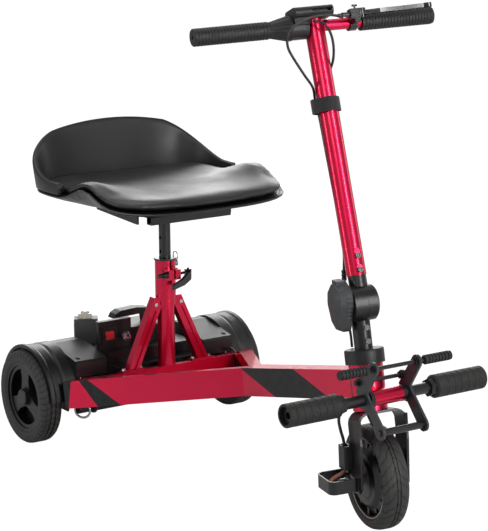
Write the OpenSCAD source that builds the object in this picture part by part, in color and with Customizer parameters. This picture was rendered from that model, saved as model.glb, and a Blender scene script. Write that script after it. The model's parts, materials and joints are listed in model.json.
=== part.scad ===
// Folding three-wheel mobility scooter.
// +Z is up and the scooter faces -Y, so +X is the rider's left.
// Main sizes are in millimetres and start from the rear axle on the ground plane.

/* [Overall] */
// Width over the outer faces of the rear tyres
overall_w = 560; // [540:5:600]
// Distance between the rear axle and the front axle
wheelbase = 880; // [870:1:895]
// Outer diameter of all three tyres
wheel_d = 203; // [199:1:206]

/* [Rear wheels] */
// Width of a rear tyre
rear_tyre_w = 46; // [42:1:48]
// Diameter on which a rear tyre sits
rear_rim_d = 150; // [146:1:154]
// Number of wide spokes in a rear wheel
spoke_count = 3; // [3:1:5]
// Diameter of the moulded hub of a rear wheel
hub_d = 42; // [40:1:46]
// Diameter of the stub axles
axle_d = 12; // [10:1:13]
// Width of the hub of a rear wheel
hub_w = 30; // [27:1:31]

/* [Front wheel] */
// Width of the front tyre
front_tyre_w = 54; // [50:1:56]
// Diameter on which the front tyre sits
front_rim_d = 158; // [154:1:162]
// Diameter of the motor drum in the front wheel
motor_d = 118; // [110:1:122]
// Width of the motor drum
motor_w = 60; // [56:1:62]
// Diameter of the brake drum on the motor's left side
brake_drum_d = 84; // [78:1:90]
// Number of screws that hold the motor cover
motor_screws = 6; // [5:1:8]
// Diameter of the motor axle
motor_axle_d = 14; // [12:1:15]

/* [Frame] */
// Rise of the frame towards the front, in degrees
frame_tilt = 11.9; // [11.5:0.1:12.3]
// Height of the frame's top plane above the rear axle line
deck_z = 131.4; // [130:0.2:133]
// Depth of the frame's box sections
beam_h = 58; // [54:1:62]
// Width of the spine
spine_w = 50; // [46:1:54]
// Width of the two diagonal arms
arm_w = 26; // [24:1:28]
// Half the width over the arms' rear ends
arm_reach = 242; // [236:1:244]
// Distance along the frame from the rear axle to the spine's joint
joint_v = 487; // [480:1:495]
// Width of the rear crossbeam along the frame
cross_w = 36; // [34:1:38]
// Wall of the spine and of the crossbeam
tube_wall = 3; // [2.5:0.5:4]
// Half the distance between the two side plates
plate_x = 160; // [158:1:162]
// Thickness of the side plates
plate_t = 8; // [6:1:8]

/* [Mast and seat post] */
// Distance from the rear axle to the mast's centre
mast_y = 147; // [144:1:150]
// Outer diameter of the mast's lower tube
mast_d = 38; // [36:1:40]
// Outer diameter of the sleeve at the mast's top
sleeve_d = 45; // [44:1:47]
// Height of the sleeve's lower end above the ground
sleeve_z = 300; // [295:1:305]
// Height of the mast's top above the ground
mast_top = 398; // [392:1:402]
// Outer diameter of the seat post
post_d = 25.4; // [24:0.2:27]
// Wall of the seat post
post_wall = 2.5; // [2:0.5:3]
// Distance between the height holes in the seat post
hole_pitch = 30; // [28:1:32]
// Half the distance between the feet of the two struts
strut_foot_x = 90; // [86:1:94]
// Width of a strut
strut_w = 24; // [22:1:25]

/* [Seat] */
// Half the width of the seat cushion
seat_a = 225; // [215:1:230]
// Half the depth of the seat cushion
seat_b = 215; // [208:1:220]
// Height of the middle of the seat above the ground
seat_top = 563; // [558:1:570]
// Thickness of the seat cushion
cushion_t = 22; // [20:1:24]
// Height of the backrest's middle above the seat
back_h = 115; // [106:1:124]
// Thickness of the backrest
back_t = 15; // [13:1:17]

/* [Head and fork] */
// Backward lean of the head tube, in degrees
head_rake = 10.9; // [10.6:0.1:11.2]
// Outer diameter of the head tube
head_d = 66; // [64:1:68]
// Length of the head tube
head_len = 88; // [86:1:90]
// Diameter of the steerer
steerer_d = 28; // [26:1:30]
// Outer diameter of the headset cover
cover_d = 76; // [72:1:80]
// Height of the headset cover
cover_h = 27; // [25:1:29]
// Thickness of the fork's plates
fork_t = 5; // [4:0.5:6]
// Distance from the steering axis to the right fork plate's outer face
fork_right = 45; // [43:1:48]
// Distance from the steering axis to the left fork plate's outer face
fork_left = 57; // [55:1:60]

/* [Tiller] */
// Backward lean of the tiller, in degrees
tiller_rake = 19; // [18.7:0.1:19.3]
// Outer diameter of the tiller tube
tiller_d = 38; // [36:1:39]
// Distance from the fold pivot to the handlebar
tiller_len = 533; // [525:1:540]
// Outer diameter of the fold joint
fold_d = 68; // [66:1:72]
// Half the width over the handlebar's ends
bar_half = 248; // [240:1:256]
// Diameter of the handlebar tube
bar_d = 22.2; // [21:0.2:24]
// Outer diameter of the handlebar grips
grip_d = 34; // [32:1:35]

/* [Foot pegs] */
// Height of the foot peg tube above the ground
peg_z = 272; // [270:1:274]
// Diameter of the foot peg tube
peg_d = 22; // [20:1:23]
// Outer diameter of the foot peg sleeves
peg_sleeve_d = 45; // [42:1:46]
// Half the width over the foot pegs
peg_half = 230; // [230:1:245]
// Half the distance between the bracket plates
bracket_x = 48; // [47:1:50]
// Thickness of the bracket plates
bracket_t = 5; // [4:0.5:6]

/* [Battery] */
// Width of the battery pack
pack_w = 166; // [150:1:168]
// Height of the battery pack
pack_h = 64; // [58:1:66]
// Thickness of the walls of the moulded covers
cover_wall = 3; // [2.5:0.5:3.5]

/* [Hidden] */

$fn = 64;
// How far the front end is turned to the rider's right at rest, in degrees
steer = -12;
// The front wheel sits midway between the fork legs
fork_x = (fork_left - fork_right) / 2;
wheel_r = wheel_d / 2;
rear_rim_r = rear_rim_d / 2;
front_rim_r = front_rim_d / 2;
wheel_x = (overall_w - rear_tyre_w) / 2;
axle_r = axle_d / 2;
running = 0.05;
gap = 0.4;
fender_r = wheel_r + 12.5;
fender_back = 18;
bar_front = wheelbase + 109.4;
axle_y = (bar_front - fender_r * cos(fender_back)) / 2;

head_y = 14 - wheelbase;
head_z = 300;
head_r = head_d / 2;
head_s = -65;
head_top = head_s + head_len;
steerer_r = steerer_d / 2;
neck_r = steerer_r + 3.5;
cover_s = head_top + 0.5;
pivot_y = head_y + 14;
pivot_z = 437.5;
pivot_s = (pivot_z - head_z) * cos(head_rake) + (pivot_y - head_y) * sin(head_rake);
fold_r = fold_d / 2;
fold_seam = 0;
fold_left = -26;
fold_right = 24;
pin_r = 12;
stud_r = 6;

mast_r = mast_d / 2;
sleeve_r = sleeve_d / 2;
post_r = post_d / 2;
post_low = mast_top - 168;
post_top = 519;
beam_z = deck_z + (mast_y + 0) * tan(frame_tilt);
clamp_z = mast_top - 39;
clamp_h = 22;
pin_z = mast_top - 11.5;

seat_y = -130;
seat_n = 4.8;
seat_steps = 72;

pack_x0 = -110;
pack_y0 = -45;
pack_z0 = 188.6;
pack_depth = 95;

module from_axle() { translate([0, axle_y, 0]) children(); }

module in_frame() { translate([0, 0, deck_z]) rotate([-frame_tilt, 0, 0]) children(); }

module in_head() { translate([0, head_y, head_z]) rotate([-head_rake, 0, 0]) children(); }

module in_tiller() { translate([0, pivot_y, pivot_z]) rotate([-tiller_rake, 0, 0]) children(); }

module steered() {
    in_head() rotate([0, 0, steer]) rotate([head_rake, 0, 0]) translate([0, -head_y, -head_z]) children();
}

module from_fork() { from_axle() steered() children(); }

module from_wheel() { from_fork() translate([fork_x, 0, 0]) children(); }

module at_rear() { translate([wheel_x, 0, wheel_r]) rotate([0, 90, 0]) children(); }

module bar(x0, x1, y, z, d) {
    translate([x0, y, z]) rotate([0, 90, 0]) cylinder(d = d, h = x1 - x0);
}

module box(x0, x1, y0, y1, z0, z1) {
    translate([x0, y0, z0]) cube([x1 - x0, y1 - y0, z1 - z0]);
}

module side_cut(x0, x1) {
    translate([x0, 0, 0]) rotate([90, 0, 90]) linear_extrude(x1 - x0) children();
}

module both() {
    children();
    mirror([1, 0, 0]) children();
}

// Smooth route through hand-chosen points, and a tube along it.
function unit(v) = v / norm(v);

function spline(p, i, t) =
    let (n = len(p) - 1)
    let (a = p[max(i - 1, 0)], b = p[i], c = p[min(i + 1, n)], d = p[min(i + 2, n)])
    0.5 * (2 * b + (c - a) * t + (2 * a - 5 * b + 4 * c - d) * t * t
        + (3 * b - a - 3 * c + d) * t * t * t);

function route(p, n) = [
    for (i = [0 : len(p) - 2]) for (k = [0 : n - 1]) spline(p, i, k / n),
    p[len(p) - 1]
];

function heading(q, i) = unit(q[min(i + 1, len(q) - 1)] - q[max(i - 1, 0)]);

function ring(q, i, r, sides, ref) =
    let (t = heading(q, i), u = unit(cross(ref, t)), w = cross(t, u))
    [for (k = [0 : sides - 1]) q[i] + r * (cos(360 * k / sides) * u + sin(360 * k / sides) * w)];

module cord(p, d, n = 2, ref = [1, 0, 0], sides = 8) {
    q = route(p, n);
    m = len(q);
    polyhedron(
        points = [for (i = [0 : m - 1]) each ring(q, i, d / 2, sides, ref)],
        faces = [
            [for (k = [0 : sides - 1]) k],
            for (i = [0 : m - 2]) for (k = [0 : sides - 1])
                let (a = i * sides, b = a + sides, j = (k + 1) % sides) each
                    [[a + k, b + k, b + j], [a + k, b + j, a + j]],
            [for (k = [sides - 1 : -1 : 0]) (m - 1) * sides + k]
        ]);
}

// ---------- rear wheels ----------
rear_tread = [
    [rear_rim_r, -rear_tyre_w / 2 + 4], [rear_rim_r + 4, -rear_tyre_w / 2 + 0.6],
    [rear_rim_r + 9, -rear_tyre_w / 2], [wheel_r - 8, -rear_tyre_w / 2],
    [wheel_r - 3.4, -rear_tyre_w / 2 + 1.6], [wheel_r - 0.8, -rear_tyre_w / 2 + 5.5],
    [wheel_r, -rear_tyre_w / 2 + 10], [wheel_r, -6.5], [wheel_r - 2, -6], [wheel_r - 2, -4],
    [wheel_r, -3.5]
];

function flip(p) = [for (i = [len(p) - 1 : -1 : 0]) [p[i][0], -p[i][1]]];

module rear_tyre() { rotate_extrude($fn = 96) polygon(concat(rear_tread, flip(rear_tread))); }

module rear_tyre_right() { color("#2b2a28") from_axle() mirror([1, 0, 0]) at_rear() rear_tyre(); }

module rear_tyre_left() { color("#2b2a28") from_axle() at_rear() rear_tyre(); }

spoke_z0 = 1;
spoke_z1 = 13;
rim_z = rear_tyre_w / 2 - 4;
hub_z = hub_w / 2;
axle_end = hub_z + 5;

module rear_wheel() {
    difference() {
        union() {
            difference() {
                cylinder(r = rear_rim_r, h = 2 * rim_z, center = true, $fn = 96);
                cylinder(r = rear_rim_r - 5, h = 2 * rim_z + 2, center = true, $fn = 96);
            }
            translate([0, 0, rim_z - 7]) difference() {
                cylinder(r = rear_rim_r - 4, h = 4, $fn = 96);
                translate([0, 0, -1]) cylinder(r = rear_rim_r - 14, h = 6, $fn = 96);
            }
            cylinder(d = hub_d, h = hub_w, center = true);
            for (i = [0 : spoke_count - 1]) rotate([0, 0, 180 + i * 360 / spoke_count])
                translate([0, 0, spoke_z0]) linear_extrude(spoke_z1 - spoke_z0)
                    polygon([[12, -17], [40, -14], [rear_rim_r - 4, -23], [rear_rim_r - 2, 0],
                        [rear_rim_r - 4, 23], [40, 14], [12, 17]]);
            for (i = [0 : spoke_count - 1]) rotate([0, 0, 180 + i * 360 / spoke_count])
                translate([18, -4, -rim_z + 6]) cube([rear_rim_r - 21, 8, rim_z - 4]);
        }
        cylinder(r = axle_r + running, h = hub_w + 2, center = true);
        translate([0, 0, -hub_z - 1]) cylinder(r = axle_r + 5, h = 6);
    }
}

module rear_wheel_right() { color("#35363a") from_axle() mirror([1, 0, 0]) at_rear() rear_wheel(); }

module rear_wheel_left() { color("#35363a") from_axle() at_rear() rear_wheel(); }

module hub_cap() {
    translate([0, 0, hub_z]) difference() {
        union() {
            cylinder(r = hub_d / 2 - 3, h = 6);
            translate([0, 0, 6]) cylinder(r1 = hub_d / 2 - 3, r2 = hub_d / 2 - 5, h = 2);
        }
        translate([0, 0, -1]) cylinder(r = 13, h = 7);
    }
}

module hub_cap_right() { color("#1c1d20") from_axle() mirror([1, 0, 0]) at_rear() hub_cap(); }

module hub_cap_left() { color("#1c1d20") from_axle() at_rear() hub_cap(); }

carrier_x = plate_x - 8;
rear_tube_y = 8;
rear_tube_z = 81;
rear_tube_d = 20;
hook_x = 192;

module rear_axle() {
    side_cut(carrier_x, plate_x) difference() {
        polygon([[-128, 104], [-127, 146], [-60, 158], [-10, 134], [24, 112], [24, 78], [10, 70],
            [-100, 70], [-112, 84]]);
        translate([0, wheel_r]) circle(d = axle_d);
    }
    bar(carrier_x, wheel_x + hub_z + 4.8, 0, wheel_r, axle_d);
    bar(plate_x, wheel_x - hub_z + 5 - gap, 0, wheel_r, axle_d + 8);
    translate([wheel_x + hub_z + gap, 0, wheel_r]) rotate([0, 90, 0]) cylinder(r = 10, h = 4, $fn = 6);
}

module rear_axles() {
    color("#2a2b2e") from_axle() {
        both() rear_axle();
        bar(-hook_x, hook_x, -90, 81, 20);
        bar(-carrier_x, carrier_x, rear_tube_y, rear_tube_z, rear_tube_d);
    }
}

fender_x0 = plate_x + 40.5;
fender_x1 = wheel_x + 9;

module fender() {
    intersection() {
        translate([0, 0, wheel_r]) rotate([0, 90, 0]) rotate_extrude($fn = 128) polygon([
            [fender_r - 7, fender_x0], [fender_r - 2, fender_x0], [fender_r - 2, fender_x0 + 24],
            [fender_r - 4, fender_x0 + 30], [fender_r - 2.5, fender_x0 + 36],
            [fender_r - 2, fender_x1 - 12], [fender_r, fender_x1 - 8], [fender_r, fender_x1],
            [fender_r - 7, fender_x1], [fender_r - 7, fender_x1 - 3], [fender_r - 6, fender_x1 - 6],
            [fender_r - 6, fender_x0 + 3], [fender_r - 7, fender_x0 + 3]
        ]);
        side_cut(fender_x0 - 1, fender_x1 + 1) polygon([
            [-140, wheel_r + 8], [0, wheel_r + 8], [140, wheel_r + 140 * tan(fender_back)],
            [140, 260], [-140, 260]
        ]);
    }
}

module fender_left() { color("#1b1c1e") from_axle() fender(); }

module fender_right() { color("#1b1c1e") from_axle() mirror([1, 0, 0]) fender(); }

cover_x0 = 124;
cover_x1 = fender_x0 - 0.5;
cover_out = [
    [-103, 154.5], [-103, 186], [-99, 190], [2, 210], [30, 208], [66, 192], [90, 165],
    [100, 130], [100, 70], [-60, 70], [-75, 100], [-84, 154.5]
];
cover_in = [
    [-100, 140], [-100, 185], [-97.5, 187.2], [2, 206.9], [29, 204.9], [64, 189.8], [87, 163.6],
    [97, 129], [97, 60], [-60, 60], [-90, 100]
];
boss_x = 187;
boss_v = -98;

module wheel_cover() {
    difference() {
        union() {
            side_cut(cover_x0, cover_x1) polygon(cover_out);
        }
        side_cut(cover_x0 + cover_wall, cover_x1 - cover_wall) polygon(cover_in);
        translate([cover_x1 - 10, 0, wheel_r]) rotate([0, 90, 0]) cylinder(r = axle_r + 8, h = 20);
        translate([cover_x1 - 10, -(axle_r + 8), 60]) cube([20, axle_d + 16, wheel_r - 60]);
        in_frame() translate([boss_x, boss_v, 0]) cylinder(r = 5, h = 80);
        bar(cover_x0 - 1, cover_x0 + cover_wall + 1, rear_tube_y, rear_tube_z, rear_tube_d + 2 * gap);
    }
    difference() {
        intersection() {
            side_cut(cover_x0, cover_x1) polygon(cover_out);
            in_frame() translate([boss_x, boss_v, 0]) cylinder(r = 8, h = 80);
        }
        in_frame() translate([boss_x, boss_v, -5]) cylinder(r = 2.5, h = 80);
        in_frame() translate([boss_x, boss_v, 28]) cylinder(r = 5, h = 80);
    }
}

module wheel_cover_left() { color("#27282b") from_axle() wheel_cover(); }

module wheel_cover_right() { color("#27282b") from_axle() mirror([1, 0, 0]) wheel_cover(); }

// ---------- frame ----------
spine_half = spine_w / 2;
head_v = head_y * cos(frame_tilt) - 146 * sin(frame_tilt);
cross_v = -mast_y - 23;
arm_end = -112;
hole_v = -140;

module spine() {
    color("#c81e3f") from_axle() difference() {
        in_frame() difference() {
            box(-spine_half, spine_half, head_v, -joint_v, -beam_h, 0);
            box(-spine_half + tube_wall, spine_half - tube_wall, head_v - 1, -joint_v + 1,
                -beam_h + tube_wall, -tube_wall);
        }
        in_head() cylinder(r = head_r, h = 300, center = true);
    }
}

module frame_arm() {
    in_frame() {
        translate([0, 0, -beam_h]) linear_extrude(beam_h) difference() {
            polygon([[0, -joint_v], [spine_half, -joint_v], [arm_reach, arm_end - 8],
                [arm_reach - 2, arm_end - 2], [arm_reach - 7, arm_end], [plate_x + plate_t, arm_end],
                [plate_x + plate_t, -88], [plate_x, -88], [plate_x, -205],
                [0, -joint_v + arm_w * 0.34]]);
            polygon([[plate_x + plate_t, -190], [plate_x + plate_t, hole_v],
                [arm_reach - arm_w * 1.8, hole_v]]);
        }
        box(plate_x + plate_t, fender_x0 - 4.5, arm_end, boss_v + 14, -6, 0);
    }
}

module frame_arm_left() {
    color("#c81e3f") from_axle() difference() {
        frame_arm();
        in_frame() translate([boss_x, boss_v, -20]) cylinder(r = 2, h = 30);
    }
}

module frame_arm_right() {
    color("#c81e3f") from_axle() mirror([1, 0, 0]) difference() {
        frame_arm();
        in_frame() translate([boss_x, boss_v, -20]) cylinder(r = 2, h = 30);
    }
}

module crossbeam() {
    color("#c81e3f") from_axle() in_frame() difference() {
        box(-plate_x, plate_x, cross_v, cross_v + cross_w, -beam_h, 0);
        box(-plate_x - 1, plate_x + 1, cross_v + tube_wall, cross_v + cross_w - tube_wall,
            -beam_h + tube_wall, -tube_wall);
    }
}

bush = 10;

module head_tube() {
    color("#c81e3f") from_axle() {
        in_head() difference() {
            translate([0, 0, head_s]) cylinder(r = head_r, h = head_len);
            translate([0, 0, head_s - 1]) cylinder(r = steerer_r + running, h = head_len + 2);
            translate([0, 0, head_s + bush]) cylinder(r = head_r - 4, h = head_len - 2 * bush);
        }
        difference() {
            union() {
                bar(-34, 34, -peg_back, peg_z, peg_d + 8);
                box(-22, 22, -peg_back, head_y, peg_z - 11, peg_z + 11);
            }
            in_head() cylinder(r = head_r - 2, h = 300, center = true);
            box(-30, 30, head_y - 6, head_y + 60, peg_z - 40, peg_z + 40);
            bar(-40, 40, -peg_back, peg_z, peg_d);
        }
    }
}

peg_back = wheelbase + 44;

module frame_screws() {
    color("#c7c9cc") from_axle() {
        both() in_frame() translate([boss_x, boss_v, -5]) {
            cylinder(r = 2, h = 33);
            translate([0, 0, 33.05]) cylinder(r = 4, h = 4);
        }
        both() strut_screw(strut_foot_x + 18);
        both() strut_screw(strut_foot_x - 24);
        for (s = [-1, 1]) translate([s * (sleeve_r + 9), -mast_y - 10, sleeve_z + 3])
            rotate([90, 0, 0]) cylinder(r = 4, h = 3);
    }
}

module strut_screw(x) {
    in_frame() translate([x, -mast_v, 4]) cylinder(r = 4.5, h = 4, $fn = 6);
}

mast_v = mast_y * cos(frame_tilt) + (beam_z - deck_z) * sin(frame_tilt);

// ---------- mast ----------
module mast() {
    color("#c81e3f") from_axle() difference() {
        union() {
            translate([0, -mast_y, 130]) cylinder(r = mast_r, h = sleeve_z - 120);
            translate([0, -mast_y, sleeve_z]) cylinder(r = sleeve_r, h = mast_top - sleeve_z);
            box(-15, 15, clamp_y - 8, -mast_y, clamp_z, clamp_z + 22);
        }
        box(-2, 2, clamp_y - 9, -mast_y, clamp_z - 14, mast_top + 1);
        bar(-16, 16, clamp_y, clamp_z + 11, 6);
        translate([0, -mast_y, 120]) cylinder(r = mast_r - 4, h = sleeve_z - 122);
        translate([0, -mast_y, 140]) cylinder(r = post_r + running, h = 400);
        in_frame() box(-100, 100, -400, 200, -200, 0);
        bar(0, 60, -mast_y, pin_z, 8 + 2 * running);
    }
}

strut_top_x = 27;
strut_rise = sleeve_z - beam_z + 3;
strut_lean = atan((strut_foot_x - strut_top_x) / strut_rise);

module strut() {
    difference() {
        translate([strut_foot_x, -mast_y, beam_z]) rotate([0, -strut_lean, 0]) difference() {
            box(-strut_w / 2, strut_w / 2, -10, 10, -30, 190);
            box(-3.5, 3.5, -11, -6.5, -40, 140);
            box(-3.5, 3.5, 6.5, 11, -40, 140);
        }
        translate([0, -mast_y, 100]) cylinder(r = mast_r, h = 400);
        translate([0, -mast_y, sleeve_z]) cylinder(r = sleeve_r, h = 400);
        box(-100, 200, -300, 0, sleeve_z + 18, sleeve_z + 200);
        in_frame() box(-100, 200, -400, 200, -200, 4);
    }
    in_frame() box(strut_foot_x - 30, strut_foot_x + 25, -mast_v - 11, -mast_v + 11, 0, 4);
}

module mast_struts() { color("#c81e3f") from_axle() both() strut(); }

clamp_y = -mast_y - sleeve_r - 9;

module mast_clamp() {
    color("#1a1b1d") from_axle() {
        translate([0, -mast_y, mast_top]) difference() {
            cylinder(r = sleeve_r + 2, h = 4);
            translate([0, 0, -1]) cylinder(r = post_r + 0.6, h = 6);
        }
        bar(-34, 38, clamp_y, clamp_z + 11, 6);
        bar(-26, -15, clamp_y, clamp_z + 11, 14);
        bar(-38, -26, clamp_y, clamp_z + 11, 9);
        translate([38, clamp_y, clamp_z + 1]) cylinder(r = 3, h = 20);
    }
}

module grip_post(x, y, z, r, h) { translate([x, clamp_y + y, clamp_z + z]) cylinder(r = r, h = h, $fn = 32); }

module clamp_lever() {
    color("#141517") from_axle() difference() {
        union() {
            translate([38, clamp_y, clamp_z + 3]) cylinder(r = 8, h = 16);
            hull() { grip_post(38, 0, 3, 8, 16); grip_post(33, -13, -2, 4.5, 17); }
            hull() { grip_post(33, -13, -2, 4.5, 17); grip_post(16, -15.5, -12, 4, 14); }
            hull() { grip_post(16, -15.5, -12, 4, 14); grip_post(-9, -15.5, -19, 3.5, 10); }
        }
        translate([38, clamp_y, clamp_z]) cylinder(r = 3 + running, h = 30);
        box(18, 54, clamp_y - 3.6, clamp_y + 20, clamp_z + 7.6, clamp_z + 14.4);
    }
}

pull = post_r + gap;

module seat_pin() {
    color("#c9cbce") from_axle() {
        bar(pull, sleeve_r + 2, -mast_y, pin_z, 8);
        bar(sleeve_r + 1, sleeve_r + 7, -mast_y, pin_z, 13);
        translate([sleeve_r + 4, -mast_y, pin_z + 16]) rotate([90, 0, 90])
            rotate_extrude() translate([9, 0]) circle(r = 1.1, $fn = 24);
        translate([sleeve_r + 4, -mast_y, pin_z + 4]) cylinder(r = 1.6, h = 5);
    }
}

// ---------- seat ----------
module seat_post() {
    color("#2d2d30") from_axle() difference() {
        translate([0, -mast_y, post_low]) cylinder(r = post_r, h = post_top - post_low);
        translate([0, -mast_y, post_low - 1]) cylinder(r = post_r - post_wall, h = post_top);
        for (k = [-3 : 3]) bar(-30, 30, -mast_y, pin_z + k * hole_pitch, 9);
    }
}

module seat_bracket() {
    color("#2b2c2f") from_axle() {
        difference() {
            union() {
                box(-117, 117, -234, -66, 519, 523);
                translate([0, -mast_y, 500]) cylinder(r = post_r + 4, h = 20);
                box(-66, -62, -240, -72, 501, 520);
                box(62, 66, -240, -72, 501, 520);
            }
            translate([0, -mast_y, 490]) cylinder(r = post_r, h = post_top - 490);
        }
        both() side_cut(113, 117)
            polygon([[-230, 500], [-222, 500], [-62, 507], [-58, 519], [-230, 519]]);
        difference() {
            box(-99, 99, -256, -238, 500, 516);
            box(-100, 100, -253.5, -240.5, 502.5, 517);
            box(-60, 60, -241, -237, 503, 517);
        }
        for (s = [-1, 1]) box(s * 64 - 12, s * 64 + 12, -241, -232, 514, 523);
    }
}

function edge(k) = 1 / pow(
    pow(abs(cos(k)) / seat_a, seat_n) + pow(abs(sin(k)) / seat_b, seat_n), 1 / seat_n);

function ease(t) = let (c = min(max(t, 0), 1)) c * c * (3 - 2 * c);

function from_back(k) = abs(k - 90 - 360 * round((k - 90) / 360));

function saddle(x, y) = pow(min(abs(x) / 218, 1.08), 2.6)
    * (10 + 29 * exp(-pow((y + 190) / 62, 2)));

function pan(p, k, inset) =
    let (r = max(p[0] * (edge(k) - inset * ease((91 - from_back(k)) / 12)), 0.01))
    let (x = r * cos(k), y = seat_y + r * sin(k))
    [x, y, seat_top + p[1] + p[2] * saddle(x, y)];

module pad(profile, inset) {
    m = seat_steps;
    n = len(profile);
    last = m * n + 1;
    polyhedron(
        points = concat(
            [[0, seat_y, seat_top + profile[0][1]]],
            [for (p = profile) for (j = [0 : m - 1]) pan(p, j * 360 / m, inset)],
            [[0, seat_y, seat_top + profile[n - 1][1]]]),
        faces = concat(
            [for (j = [0 : m - 1]) [0, 1 + (j + 1) % m, 1 + j]],
            [for (i = [0 : n - 2]) for (j = [0 : m - 1])
                let (a = 1 + i * m, b = a + m, c = (j + 1) % m) each
                    [[b + j, a + j, a + c], [b + j, a + c, b + c]]],
            [for (j = [0 : m - 1]) [last, last - m + j, last - m + (j + 1) % m]]));
}

module seat_cushion() {
    color("#1d1d1f") from_axle() pad([
        [0.25, 0, 1], [0.5, 0, 1], [0.72, 0, 1], [0.86, -0.5, 1], [0.94, -2.5, 1],
        [0.98, -6, 1], [1, -11, 1], [0.99, -cushion_t + 5, 1], [0.97, -cushion_t, 1],
        [0.7, -cushion_t, 1], [0.35, -cushion_t, 1]
    ], back_t + 1);
}

module seat_shell() {
    color("#1b1b1d") from_axle() pad([
        [0.35, -cushion_t - 1, 1], [0.7, -cushion_t - 1.6, 1], [0.945, -cushion_t - 3, 1],
        [0.955, -cushion_t - 4, 1], [0.985, -cushion_t - 3, 1], [0.995, -cushion_t - 5, 1],
        [0.985, -cushion_t - 8, 1], [0.9, -cushion_t - 11, 0.8], [0.75, -cushion_t - 15, 0.3],
        [0.56, -cushion_t - 18, 0], [0.3, -cushion_t - 18, 0]
    ], 0);
}

back_end = 79;
back_steps = 44;
back_lean = 12;
back_section = [
    [0, 0], [0, 0.3], [0, 0.65], [0.08, 0.93], [0.3, 0.99], [0.7, 0.99], [0.92, 0.93],
    [1, 0.65], [1, 0.3], [1, 0]
];

function crest(x, y) = 15 + (back_h - 15 - 36 * pow(x / 211, 2))
    * pow(min(max((y + 50) / 130, 0), 1), 1.8);

function band(p, k) =
    let (r = edge(k) - back_t + p[0] * back_t, a = from_back(k))
    let (x = edge(k) * cos(k), y = seat_y + edge(k) * sin(k))
    let (out = r + back_lean * p[1] * ease((84 - a) / 50))
    let (low = saddle(x, y) - cushion_t + 0.4)
    [out * cos(k), seat_y + out * sin(k), seat_top + low + p[1] * (crest(x, y) - low)];

module backrest() {
    m = len(back_section);
    n = back_steps;
    color("#1e1e20") from_axle() polyhedron(
        points = [for (i = [0 : n]) for (p = back_section)
            band(p, 90 - back_end + 2 * back_end * i / n)],
        faces = concat(
            [[for (j = [0 : m - 1]) j]],
            [for (i = [0 : n - 1]) for (j = [0 : m - 1])
                let (a = i * m, b = a + m, c = (j + 1) % m) each
                    [[a + j, b + j, b + c], [a + j, b + c, a + c]]],
            [[for (j = [m - 1 : -1 : 0]) n * m + j]]));
}

// ---------- battery and electrics ----------
tray_z = 91;

module tie_ring() {
    color("#1b1b1c") from_axle() translate([-hook_x + 12, -90, tray_z - 13.6]) rotate([0, 0, 40])
        rotate([0, 90, 0]) rotate_extrude() translate([17, 0]) circle(r = 2.4, $fn = 24);
}

module battery_tray() {
    color("#202124") from_axle() difference() {
        box(-112, 118, -126, 98, tray_z, tray_z + 20);
        box(-109, 115, -123, 95, tray_z + 3, tray_z + 21);
    }
}

module battery_dock() {
    color("#1c1d1f") from_axle() difference() {
        union() {
            box(-105, 112, -112, 92, tray_z + 3, pack_z0 - 25);
            box(-105, 112, -76, 92, tray_z + 3, pack_z0 - 0.3);
        }
        box(-105 + cover_wall, 112 - cover_wall, -112 + cover_wall, 92 - cover_wall,
            tray_z, pack_z0 - 25 - cover_wall);
        box(-105 + cover_wall, 112 - cover_wall, -76 + cover_wall, 92 - cover_wall,
            tray_z, pack_z0 - 0.3 - cover_wall);
    }
}

module at_controller() { translate([-122, 43, pack_z0 - 0.3]) rotate([0, 0, -29]) children(); }

module controller_box() {
    color("#4b4a4b") from_axle() at_controller() {
        box(0, 50, 0, 34, 0, 47);
        box(3, 47, 2, 32, 47, 50);
        box(1, 53, 1, 33, 50, 55);
    }
}

module lamp_dome() {
    color("#e4dfd6") from_axle() at_controller() {
        box(10, 40, 6, 28, 55, 66);
        translate([25, 17, 66]) cylinder(r1 = 10, r2 = 7, h = 4);
    }
}

cable_d = 5;
left_route = [
    [176, -103 - gap, 164], [176, -108, 164], [179, -118, 168], [180, -128, 168], [180, -140, 165], [176, -154, 158],
    [173, -163, 145], [171, -167, 128], [171, -166, 112]
];

module left_cable() { color("#151618") from_axle() cord(left_route, cable_d); }

panel_t = 12;

module battery_pack() {
    color("#17181a") from_axle() difference() {
        union() {
            box(pack_x0, pack_x0 + 82, pack_y0, pack_y0 + panel_t, pack_z0, pack_z0 + pack_h);
            box(pack_x0 + 62, pack_x0 + pack_w, pack_y0 + panel_t - 1, pack_y0 + pack_depth,
                pack_z0, pack_z0 + 38);
            box(pack_x0 + 84, pack_x0 + pack_w - 4, pack_y0 + 20, pack_y0 + 80, pack_z0 + 30,
                handle_z - 26);
            box(switch_x - 34, switch_x + 2, pack_y0 - 3, pack_y0 + 1, pack_z0 + 14, pack_z0 + 52);
        }
        box(switch_x - 26.4, switch_x - 5.6, pack_y0 - 8, pack_y0 + 6, pack_z0 + 22, pack_z0 + 42);
        translate([key_x, pack_y0 + 10, key_z]) rotate([90, 0, 0]) cylinder(r = 4 + running, h = 20);
    }
}

switch_x = pack_x0 + 42;
key_x = pack_x0 + 60;
key_z = pack_z0 + 28;

module power_switch() {
    color("#b01f2d") from_axle() translate([switch_x - 16, pack_y0 - 1, pack_z0 + 32]) {
        rotate([0, 90, 0]) cylinder(r = 2.6, h = 20, center = true);
        difference() {
            box(-10, 10, -4.5, 0, -9, 9);
            translate([0, -14, 10]) rotate([0, 90, 0]) cylinder(r = 12, h = 22, center = true);
        }
    }
}

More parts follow.
